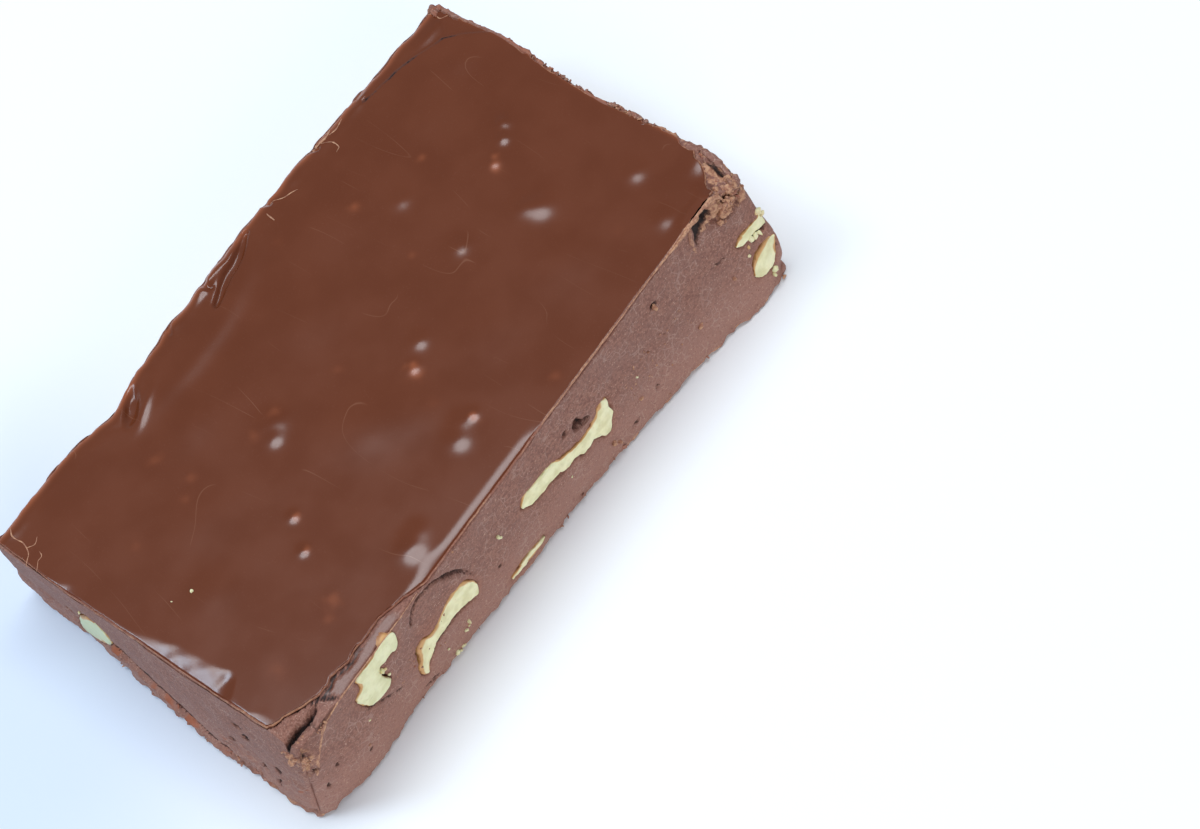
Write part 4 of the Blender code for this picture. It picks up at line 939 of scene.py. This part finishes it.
def kernel_piece(wall, stations, depth, husk, seed):
    """Closed surface of a broken kernel: run u along the strip, turn v round it.

    Across the cut each ring is flat with eased edges, a little proud of the wall, and behind
    it half an ellipse.  Both edges are roughened by random fields, and the husk mark is 1 at
    the skinned edge, fading inwards.
    """
    edges = smooth_path(stations, KERNEL_RUNS)
    middle = (edges[:, :2] + edges[:, 2:]) / 2.0
    half = (edges[:, :2] - edges[:, 2:]) / 2.0
    u = np.linspace(0.0, 1.0, KERNEL_RUNS)
    end = np.sqrt(1.0 - np.clip(1.0 - np.minimum(u, 1.0 - u) / 0.025, 0.0, 1.0) ** 2)
    angle = 2.0 * math.pi * np.arange(KERNEL_TURNS) / KERNEL_TURNS
    side = np.sign(np.cos(angle)) * np.abs(np.cos(angle)) ** 0.75
    outside = np.sin(angle) > -1e-9
    reach = np.linalg.norm(half, axis=1)
    spot = middle[:, None] + half[:, None] * side[:, None] * end[:, None, None]
    seeds = np.concatenate([spot, np.full((*spot.shape[:2], 1), 7.0)], axis=2)
    ragged = 0.20 * grain(seeds, 1.1, seed) + 0.15 * grain(seeds, 0.45, seed + 1) + 0.07 * grain(seeds, 0.2, seed + 4)
    spot = spot + (half / reach[:, None])[:, None] * (ragged * side * np.abs(side) ** 3 * end[:, None])[..., None]
    rim = np.sqrt(np.clip(1.0 - np.abs(side) ** 12, 0.0, 1.0))
    relief = 0.09 * grain(seeds, 1.7, seed + 2) + 0.05 * grain(seeds, 0.7, seed + 3)
    front = 0.22 - (0.27 + relief) * rim
    deep = np.minimum(depth, 1.1 * reach + 0.5)[:, None] * np.sqrt(np.clip(1.0 - side ** 2, 0.0, 1.0)) + 0.22
    points = on_wall(spot[..., 0], spot[..., 1], np.where(outside, front, deep), wall)
    mark = np.zeros(spot.shape[:2])
    for start, stop, hand, width in husk:
        here = ease((u - start) / 0.08 + 0.5) * ease((stop - u) / 0.08 + 0.5)
        mark = np.maximum(mark, here[:, None] * ease((side * hand - 1.0 + width) / width))
    mark = np.maximum(mark, 0.45 * np.abs(side) ** 14)
    mark = np.where(outside, mark, 1.0)
    poles = points[[1, -2]].mean(axis=1)
    points = np.vstack([points[1:-1].reshape(-1, 3), poles])
    mark = np.append(mark[1:-1].ravel(), [0.6, 0.6])
    faces = ring_faces(KERNEL_RUNS - 2, KERNEL_TURNS)
    return cut_by_hand(points), faces, mark


def kernel_finish():
    """Cut walnut: cream with a faint green cast, clouded, tan to brown at the husk."""
    finish, tree, shader, place = start_finish("walnut kernel")
    cloud = speckle(tree, place, 1.8)
    fine = speckle(tree, place, 0.35)
    cream = blend_colour(tree, band(tree, cloud, 0.3, 0.7), (0.74, 0.67, 0.36), (0.95, 0.89, 0.57))
    cream = blend_colour(tree, mark_value(tree, "green"), cream, (0.64, 0.70, 0.44))
    cream = blend_colour(tree, band(tree, fine, 0.60, 0.75, 0.0, 0.3), cream, (0.58, 0.47, 0.26))
    husk = mark_value(tree, "husk")
    edge = add_node(tree, "ShaderNodeMath", {0: husk, 1: band(tree, cloud, 0.2, 0.8, -0.25, 0.25)},
                    operation="ADD").outputs[0]
    tan = blend_colour(tree, band(tree, edge, 0.12, 0.6), cream, (0.62, 0.33, 0.12))
    tan = blend_colour(tree, band(tree, edge, 0.85, 1.2), tan, (0.30, 0.11, 0.045))
    tree.links.new(tan, shader.inputs["Base Color"])
    shader.inputs["Roughness"].default_value = 0.5
    shader.inputs["Subsurface Weight"].default_value = 0.15
    shader.inputs["Subsurface Radius"].default_value = (1.0, 0.7, 0.4)
    shader.inputs["Subsurface Scale"].default_value = 0.0006
    bump = add_node(tree, "ShaderNodeBump", {"Height": fine, "Strength": 0.4, "Distance": 0.0001})
    tree.links.new(bump.outputs["Normal"], shader.inputs["Normal"])
    return finish


kernel_look = kernel_finish()
for number, (node_name, (wall, stations, depth, husk, _)) in enumerate(WALNUTS.items()):
    points, faces, husk_mark = kernel_piece(wall, stations, depth, husk, 50 + 10 * number)
    marks = {"husk": husk_mark, "green": 0.0 * husk_mark + KERNEL_GREEN.get(node_name, 0.1)}
    kernel = put_mesh(node_name.replace("walnut", "kernel"), points, faces, marks, kernel_look)
    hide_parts(node_name)

# ---------------------------------------------------------------------------------------
# Crumbs of fudge.  The knife tore the slice at its broken corners, along its right end and
# round its foot, and left crumbs, flakes and teeth of fudge stuck where they broke.
# ---------------------------------------------------------------------------------------
CRUMB_ROWS = 9
CRUMB_COLUMNS = 14
# Groups of crumbs: wall, middle along and height, spread along and height, how many, sizes
# from and to, flatness, and how pale they are
CRUMB_GROUPS = [
    ("front", 41.2, 16.8, 1.5, 1.1, 42, 0.16, 0.42, 0.8, 0.8), ("front", 39.8, 15.6, 1.2, 0.6, 16, 0.12, 0.3, 0.8, 0.7),
    ("front", 43.6, 17.6, 1.1, 1.6, 30, 0.2, 0.6, 0.7, 0.45), ("top", 42.6, -24.2, 1.2, 1.0, 34, 0.2, 0.62, 0.7, 0.5),
    ("top", 44.3, -21.3, 0.5, 1.6, 22, 0.25, 0.6, 0.6, 0.25), ("top", 44.5, -17.6, 0.35, 1.8, 22, 0.25, 0.7, 0.45, 0.25),
    ("top", 44.75, -9.0, 0.2, 4.5, 34, 0.15, 0.45, 0.5, 0.35), ("top", 44.8, 3.0, 0.2, 6.0, 26, 0.12, 0.32, 0.5, 0.3),
    ("front", -44.4, 15.8, 0.5, 1.4, 14, 0.12, 0.4, 0.8, 0.8), ("left", -23.6, 16.4, 1.1, 1.0, 20, 0.12, 0.4, 0.8, 0.75),
    ("front", -41.0, 18.6, 1.4, 0.3, 10, 0.1, 0.24, 0.7, 0.8), 
    ("left", -14.0, 3.2, 6.0, 1.4, 16, 0.12, 0.36, 0.6, 0.25), ("left", 2.0, 3.4, 7.0, 1.6, 14, 0.12, 0.32, 0.6, 0.25),
    ("left", -4.0, 0.7, 16.0, 0.35, 16, 0.12, 0.36, 0.4, 0.4), ("front", 0.0, 0.8, 38.0, 0.5, 16, 0.1, 0.32, 0.4, 0.3),
    ("top", 43.4, -24.7, 1.0, 0.5, 9, 0.45, 0.8, 0.7, 0.3), ("front", 40.9, 16.8, 1.2, 0.9, 8, 0.3, 0.55, 0.6, 0.7),
    ("top", -43.6, -24.7, 0.9, 0.3, 7, 0.12, 0.26, 0.7, 0.7), ("top", 44.1, 24.7, 0.9, 0.7, 12, 0.3, 0.62, 0.6, 0.15),
    ("front", -25.0, 9.0, 7.0, 5.0, 26, 0.06, 0.16, 0.7, 0.6), ("front", 22.0, 9.0, 9.0, 5.0, 40, 0.06, 0.18, 0.7, 0.7),
    ("back", 0.0, 0.8, 40.0, 0.5, 16, 0.1, 0.32, 0.4, 0.3), ("right", 0.0, 0.8, 22.0, 0.5, 10, 0.1, 0.32, 0.4, 0.3),
    ("right", -20.5, 16.5, 2.6, 2.0, 30, 0.15, 0.45, 0.8, 0.6), ("right", 4.0, 9.0, 12.0, 5.0, 20, 0.06, 0.18, 0.7, 0.6),
    ("back", 2.0, 10.0, 25.0, 6.0, 30, 0.06, 0.18, 0.7, 0.6), ("top", 19.6, 25.0, 0.6, 0.3, 6, 0.1, 0.25, 0.6, 0.7)]
# Single crumbs: wall, along, height and size
SINGLE_CRUMBS = [
    ("front", 25.1, 15.9, 0.42), ("front", 29.5, 6.2, 0.30), ("front", 17.6, 5.6, 0.26), ("front", 11.5, 3.6, 0.34),
    ("front", 12.3, 2.7, 0.30), ("front", 36.7, 7.6, 0.24), ("front", -15.3, 18.9, 0.22), ("front", -35.9, 5.75, 0.22),
    ("front", 42.9, 0.5, 0.34), ("left", -23.6, 15.0, 0.42), ("front", -44.5, 14.6, 0.36)]


def on_surface(wall, along, height, out):
    """Point of the even box on a wall, or on the poured top, so far outside it."""
    if wall == "top":
        return np.stack([along, height, HEIGHT + skin_height(along, height) + out], axis=-1)
    return on_wall(along, height, -out, wall)


def crumb_balls(middles, sizes, flat, seed):
    """Closed lumpy balls joined in one mesh.

    Each ball is a sphere turned at random and squashed along one axis, whose radius swells
    and shrinks by a random field.  Rows run from pole to pole, and a point closes each pole.
    """
    dice = np.random.default_rng(seed)
    polar = math.pi * (np.arange(CRUMB_ROWS) + 0.5) / CRUMB_ROWS
    turn = 2.0 * math.pi * np.arange(CRUMB_COLUMNS) / CRUMB_COLUMNS
    polar, turn = np.meshgrid(polar, turn, indexing="ij")
    ways = np.stack([np.sin(polar) * np.cos(turn), np.sin(polar) * np.sin(turn), -np.cos(polar)], axis=-1)
    ways = np.vstack([ways.reshape(-1, 3), [[0.0, 0.0, -1.0], [0.0, 0.0, 1.0]]])
    count = len(sizes)
    first = dice.normal(size=(count, 3))
    first /= np.linalg.norm(first, axis=1, keepdims=True)
    second = np.cross(first, dice.normal(size=(count, 3)))
    second /= np.linalg.norm(second, axis=1, keepdims=True)
    axes = np.stack([first, second, np.cross(first, second)], axis=1)
    axes = axes * np.stack([dice.uniform(0.9, 1.5, count), np.ones(count), flat], axis=1)[:, :, None]
    swell = 1.0 + 0.38 * grain(ways + 9.0 * np.arange(count)[:, None, None], 0.8, seed)
    swell = swell + 0.22 * grain(ways + 9.0 * np.arange(count)[:, None, None], 0.4, seed + 1)
    points = middles[:, None] + (ways[None] * swell[..., None] * sizes[:, None, None]) @ axes
    each = CRUMB_ROWS * CRUMB_COLUMNS + 2
    one = ring_faces(CRUMB_ROWS, CRUMB_COLUMNS)
    faces = [[corner + each * number for corner in face] for number in range(count) for face in one]
    return points.reshape(-1, 3), faces


dice = np.random.default_rng(7)
middles = []
sizes = []
flats = []
pales = []
for wall, along, height, spread_along, spread_height, count, small, large, flat, pale in CRUMB_GROUPS:
    place_along = np.clip(along + spread_along * dice.uniform(-1.0, 1.0, count) * dice.uniform(0.4, 1.0, count),
                          -44.9 if wall in ("front", "back", "top") else -25.4,
                          44.9 if wall in ("front", "back", "top") else 25.4)
    place_height = height + spread_height * dice.uniform(-1.0, 1.0, count) * dice.uniform(0.4, 1.0, count)
    place_height = np.maximum(place_height, 0.15) if wall != "top" else np.maximum(place_height, -25.3)
    size = small + (large - small) * dice.uniform(0.0, 1.0, count) ** 2
    sunk = -0.15 * size
    if wall == "top" and height < -16.0:
        sunk = (-0.9 if along > 0.0 else -0.75) + 0.1 * size
    middles.append(on_surface(wall, place_along, place_height, sunk))
    sizes.append(size)
    flats.append(np.full(count, flat))
    pales.append(np.clip(pale + dice.uniform(-0.5, 0.4, count), 0.0, 1.0))
for wall, along, height, size in SINGLE_CRUMBS:
    middles.append(on_surface(wall, np.array([along]), np.array([height]), 0.2 * size))
    sizes.append(np.array([size]))
    flats.append(np.array([0.8]))
    pales.append(np.array([0.8]))
sizes = np.concatenate(sizes)
crumb_points, crumb_faces = crumb_balls(np.concatenate(middles), sizes, np.concatenate(flats), 90)
each = len(crumb_points) // len(sizes)
pale = np.repeat(np.concatenate(pales), each)
reddish = np.repeat(0.6 * ease(dice.uniform(-1.0, 1.0, len(sizes))), each)
crumb_marks = {"skin": 0.0 * pale, "painted_shade": 0.0 * pale, "warm": reddish * (1.0 - pale), "dry": pale}
put_mesh("fudge_crumbs", cut_by_hand(crumb_points), crumb_faces, crumb_marks, fudge_look)

# ---------------------------------------------------------------------------------------
# Curls of fudge.  Thin burrs that the knife raised at the top edges, and dry hairlines
# where the skin cracked: narrow rounded ribbons that lie on the slice.
# ---------------------------------------------------------------------------------------
CURL_RUNS = 90
CURL_TURNS = 10
# Paths: wall, then (along, height, half width), how far they stand out, and how pale
CURLS = [
    ("front", [(41.2, 18.2, 0.12), (40.4, 19.4, 0.30), (38.7, 20.1, 0.44), (36.6, 20.2, 0.38), (34.8, 19.9, 0.30),
               (33.0, 19.7, 0.18), (29.5, 19.9, 0.11), (25.0, 20.0, 0.07), (15.0, 20.0, 0.06), (5.0, 20.0, 0.04)], 0.0, 0.66),
    ("front", [(34.1, 16.0, 0.10), (34.2, 17.2, 0.28), (34.4, 18.4, 0.34), (35.0, 19.6, 0.30)], 0.0, 0.45),
    ("top", [(45.0, -18.2, 0.10), (45.0, -20.0, 0.38), (44.9, -21.8, 0.48), (44.6, -23.5, 0.45), (44.0, -25.0, 0.20)],
     -0.15, 0.25),
    ("front", [(-22.0, 19.7, 0.05), (-24.5, 19.46, 0.08), (-27.0, 19.38, 0.10), (-31.0, 19.36, 0.12), (-34.9, 19.32, 0.14),
               (-36.9, 19.3, 0.14), (-38.8, 18.9, 0.13), (-40.0, 18.5, 0.12), (-40.9, 18.0, 0.12), (-42.0, 15.6, 0.09), (-42.6, 13.6, 0.04)],
     -0.02, 0.8),
    ("top", [(-45.0, 19.4, 0.05), (-43.6, 20.4, 0.07), (-42.9, 22.0, 0.08), (-43.0, 23.8, 0.08), (-42.2, 25.2, 0.05)],
     -0.01, 0.8),
    ("top", [(-44.9, 17.8, 0.03), (-43.8, 18.6, 0.07), (-43.0, 18.7, 0.06), (-42.7, 19.6, 0.03)], -0.01, 0.8),
    ("top", [(-43.2, 21.2, 0.03), (-42.2, 20.6, 0.06), (-41.4, 21.0, 0.02)], -0.01, 0.8),
    ("top", [(19.4, 25.3, 0.05), (20.2, 24.7, 0.14), (21.6, 24.6, 0.12), (22.6, 25.0, 0.05)], 0.05, 0.8),
    ("top", [(20.3, 24.4, 0.04), (21.3, 23.2, 0.10), (21.2, 22.0, 0.08), (20.4, 21.7, 0.03)], 0.05, 0.8),
    ("top", [(21.9, 24.4, 0.05), (23.2, 24.2, 0.09), (24.6, 24.7, 0.04)], 0.05, 0.7),
    ("top", [(10.2, 24.7, 0.04), (11.4, 23.8, 0.08), (12.6, 23.2, 0.06), (13.5, 22.6, 0.03)], 0.03, 0.8),
    ("top", [(8.6, 23.7, 0.05), (8.4, 22.9, 0.12), (8.3, 22.2, 0.05)], 0.03, 0.8),
    ("top", [(44.3, 22.6, 0.04), (43.4, 23.4, 0.08), (43.7, 24.6, 0.08), (43.2, 25.3, 0.04)], 0.0, 0.7),
    ("top", [(44.6, 18.8, 0.05), (43.6, 20.6, 0.10), (42.0, 22.0, 0.10), (40.6, 22.7, 0.05)], -0.15, 0.5),
    ("left", [(-20.0, 20.0, 0.04), (-12.0, 19.9, 0.07), (-4.0, 19.9, 0.06), (6.0, 19.9, 0.08), (14.0, 19.9, 0.04)],
     0.0, 0.45)]


def curl_ribbons(curls):
    """Closed ribbons joined in one mesh: a half-flat ring of points along each path.

    The ring's axes are the surface's outward direction and the one square to it and to the
    path, and its half width comes from the path's stations.
    """
    outwards = {"top": (0.0, 0.0, 1.0), "front": (0.0, -1.0, 0.0), "left": (-1.0, 0.0, 0.0)}
    angle = 2.0 * math.pi * np.arange(CURL_TURNS) / CURL_TURNS
    points = []
    faces = []
    pales = []
    for number, (wall, stations, stand, pale) in enumerate(curls):
        path = smooth_path(stations, CURL_RUNS)
        seeds = np.stack([path[:, 0], path[:, 1], np.full(CURL_RUNS, 3.0 * number)], axis=1)
        path[:, :2] += 0.12 * np.stack([grain(seeds, 1.1, 95), grain(seeds, 1.1, 96)], axis=1)
        half = path[:, 2] * (1.0 + 0.5 * grain(seeds, 0.5, 97))
        line = on_surface(wall, path[:, 0], path[:, 1], stand)
        ahead = np.gradient(line, axis=0)
        outward = np.array(outwards[wall])
        across = np.cross(ahead, outward)
        across /= np.linalg.norm(across, axis=1, keepdims=True)
        ring = across[:, None] * np.cos(angle)[:, None] + outward * 0.6 * np.sin(angle)[:, None]
        rings = line[:, None] + ring * half[:, None, None]
        base = sum(len(part) for part in points)
        points.append(np.vstack([rings.reshape(-1, 3), line[[0, -1]]]))
        faces += [[corner + base for corner in face] for face in ring_faces(CURL_RUNS, CURL_TURNS)]
        pales.append(np.full(len(points[-1]), pale))
    return np.vstack(points), faces, np.concatenate(pales)


curl_points, curl_faces, curl_pale = curl_ribbons(CURLS)
curl_marks = {"skin": 0.0 * curl_pale, "painted_shade": 0.0 * curl_pale, "warm": 0.0 * curl_pale, "dry": curl_pale}
put_mesh("fudge_curls", cut_by_hand(curl_points), curl_faces, curl_marks, fudge_look)

# ---------------------------------------------------------------------------------------
# Crumbs of walnut.  Pale grains that the knife dragged out of the cut kernels and that
# stuck to the wall round them.
# ---------------------------------------------------------------------------------------
WALNUT_CRUMBS = [
    ("front", -30.5, 14.9, 0.34), ("front", -30.0, 14.4, 0.24), ("front", -29.7, 12.6, 0.22), ("front", -17.2, 4.3, 0.28),
    ("front", -17.4, 3.5, 0.20), ("front", -18.0, 3.3, 0.24), ("front", -21.1, 3.7, 0.18), ("front", -19.1, 1.1, 0.26),
    ("front", -20.2, 1.1, 0.30), ("front", -19.7, 0.8, 0.22), ("front", -8.8, 12.0, 0.34), ("front", 41.6, 9.9, 0.40),
    ("front", 42.4, 9.6, 0.46), ("front", 43.1, 9.3, 0.34), ("front", 40.7, 9.3, 0.20), ("front", 40.1, 8.2, 0.20),
    ("front", 42.3, 2.9, 0.42), ("front", 41.8, 2.4, 0.30), ("front", 44.6, 11.8, 0.42), ("front", 44.9, 11.0, 0.36),
    ("front", 44.2, 12.0, 0.26), ("front", -8.4, 11.3, 0.16), ("front", -34.6, 9.6, 0.14), ("front", 4.1, 6.6, 0.14),
    ("front", 18.4, 9.4, 0.16), ("top", -36.5, -1.3, 0.24), ("top", -38.9, 0.0, 0.12), ("left", 12.2, 13.4, 0.22),
    ("back", 4.0, 10.2, 0.24), ("back", 6.2, 9.0, 0.18), ("back", 26.0, 3.0, 0.20), ("right", 8.4, 6.0, 0.22)]
places = [(wall, np.array([along]), np.array([height]), 0.25 * size) for wall, along, height, size in WALNUT_CRUMBS]
middles = np.concatenate([on_surface(*place) for place in places])
sizes = np.array([size for _, _, _, size in WALNUT_CRUMBS])
grain_points, grain_faces = crumb_balls(middles, sizes, np.full(len(sizes), 0.7), 130)
shade = np.repeat(np.random.default_rng(8).uniform(0.0, 0.35, len(sizes)), len(grain_points) // len(sizes))
put_mesh("walnut_crumbs", cut_by_hand(grain_points), grain_faces, {"husk": shade, "green": 0.0 * shade + 0.15},
         kernel_look)

# ---------------------------------------------------------------------------------------
# The table, the lights and the camera.  A pale table top under soft studio light: a wide
# cool panel overhead, a fill from the front and a bright room.  A cool shadow is painted
# into the table's colour beside the slice's left end.
# ---------------------------------------------------------------------------------------
TABLE = 3.0
table_mesh = bpy.data.meshes.new("table")
corners = [(-TABLE, -TABLE), (TABLE, -TABLE), (TABLE, TABLE), (-TABLE, TABLE)]
table_mesh.from_pydata([(x, y, -0.00005) for x, y in corners], [], [[0, 1, 2, 3]])
table = bpy.data.objects.new("table", table_mesh)
bpy.context.scene.collection.objects.link(table)
table_look = bpy.data.materials.new("pale table")
table_look.use_nodes = True
table_tree = table_look.node_tree
table_shader = table_tree.nodes["Principled BSDF"]
table_place = add_node(table_tree, "ShaderNodeTexCoord").outputs["Object"]
# Painted shadow: the table is bluish grey within 12 mm of a spot beside the slice's left end, and fades to near white
# by 60 mm.
painted_shadow_distance = add_node(table_tree, "ShaderNodeVectorMath", {0: table_place, 1: (-0.060, 0.020, 0.0)},
                       operation="DISTANCE").outputs["Value"]
table_colour_with_painted_shadow = blend_colour(table_tree, band(table_tree, painted_shadow_distance, 0.012, 0.060), (0.66, 0.75, 0.89),
                            (0.94, 0.97, 1.0))
table_tree.links.new(table_colour_with_painted_shadow, table_shader.inputs["Base Color"])
table_shader.inputs["Roughness"].default_value = 0.6
table_mesh.materials.append(table_look)


def panel(name, place, length, width, watts, colour):
    """Soft light of a long panel at a place, turned to face the slice."""
    light = bpy.data.lights.new(name, "AREA")
    light.shape = "RECTANGLE"
    light.size = length
    light.size_y = width
    light.energy = watts
    light.color = colour
    lamp = bpy.data.objects.new(name, light)
    lamp.location = place
    lamp.rotation_euler = (math.atan2(math.hypot(place[0], place[1]), place[2]), 0.0,
                           math.atan2(place[1], place[0]) + math.pi / 2.0)
    bpy.context.scene.collection.objects.link(lamp)


panel("overhead panel", (0.108, 0.168, 1.0), 1.0, 0.28, 7.1, (0.93, 0.96, 1.0))
panel("side panel", (-0.44, 0.52, 1.0), 0.27, 0.27, 3.4, (0.66, 0.83, 1.0))
panel("front fill", (-0.45, -1.1, 0.5), 0.8, 0.8, 5.6, (1.0, 0.97, 0.94))
room = bpy.data.worlds.new("room")
room.use_nodes = True
room.node_tree.nodes["Background"].inputs["Color"].default_value = (0.80, 0.90, 1.0, 1.0)
room.node_tree.nodes["Background"].inputs["Strength"].default_value = 0.34
bpy.context.scene.world = room

LENS = 78.0
CAMERA_AIM = (0.01229, -0.02468, 0.010)
CAMERA_DISTANCE = 0.3186
CAMERA_ELEVATION = math.radians(60.47)
CAMERA_AZIMUTH = math.radians(-32.92)
CAMERA_ROLL = math.radians(22.36)
lens = bpy.data.cameras.new("camera")
lens.lens = LENS
lens.sensor_width = 36.0
lens.clip_start = 0.01
camera = bpy.data.objects.new("camera", lens)
ground_reach = CAMERA_DISTANCE * math.cos(CAMERA_ELEVATION)
camera.location = (CAMERA_AIM[0] + ground_reach * math.sin(CAMERA_AZIMUTH),
                   CAMERA_AIM[1] - ground_reach * math.cos(CAMERA_AZIMUTH),
                   CAMERA_AIM[2] + CAMERA_DISTANCE * math.sin(CAMERA_ELEVATION))
camera.rotation_mode = "QUATERNION"
level = Euler((math.pi / 2.0 - CAMERA_ELEVATION, 0.0, CAMERA_AZIMUTH)).to_quaternion()
camera.rotation_quaternion = level @ Quaternion((0.0, 0.0, 1.0), -CAMERA_ROLL)
bpy.context.scene.collection.objects.link(camera)
bpy.context.scene.camera = camera
bpy.context.scene.view_settings.view_transform = "Standard"
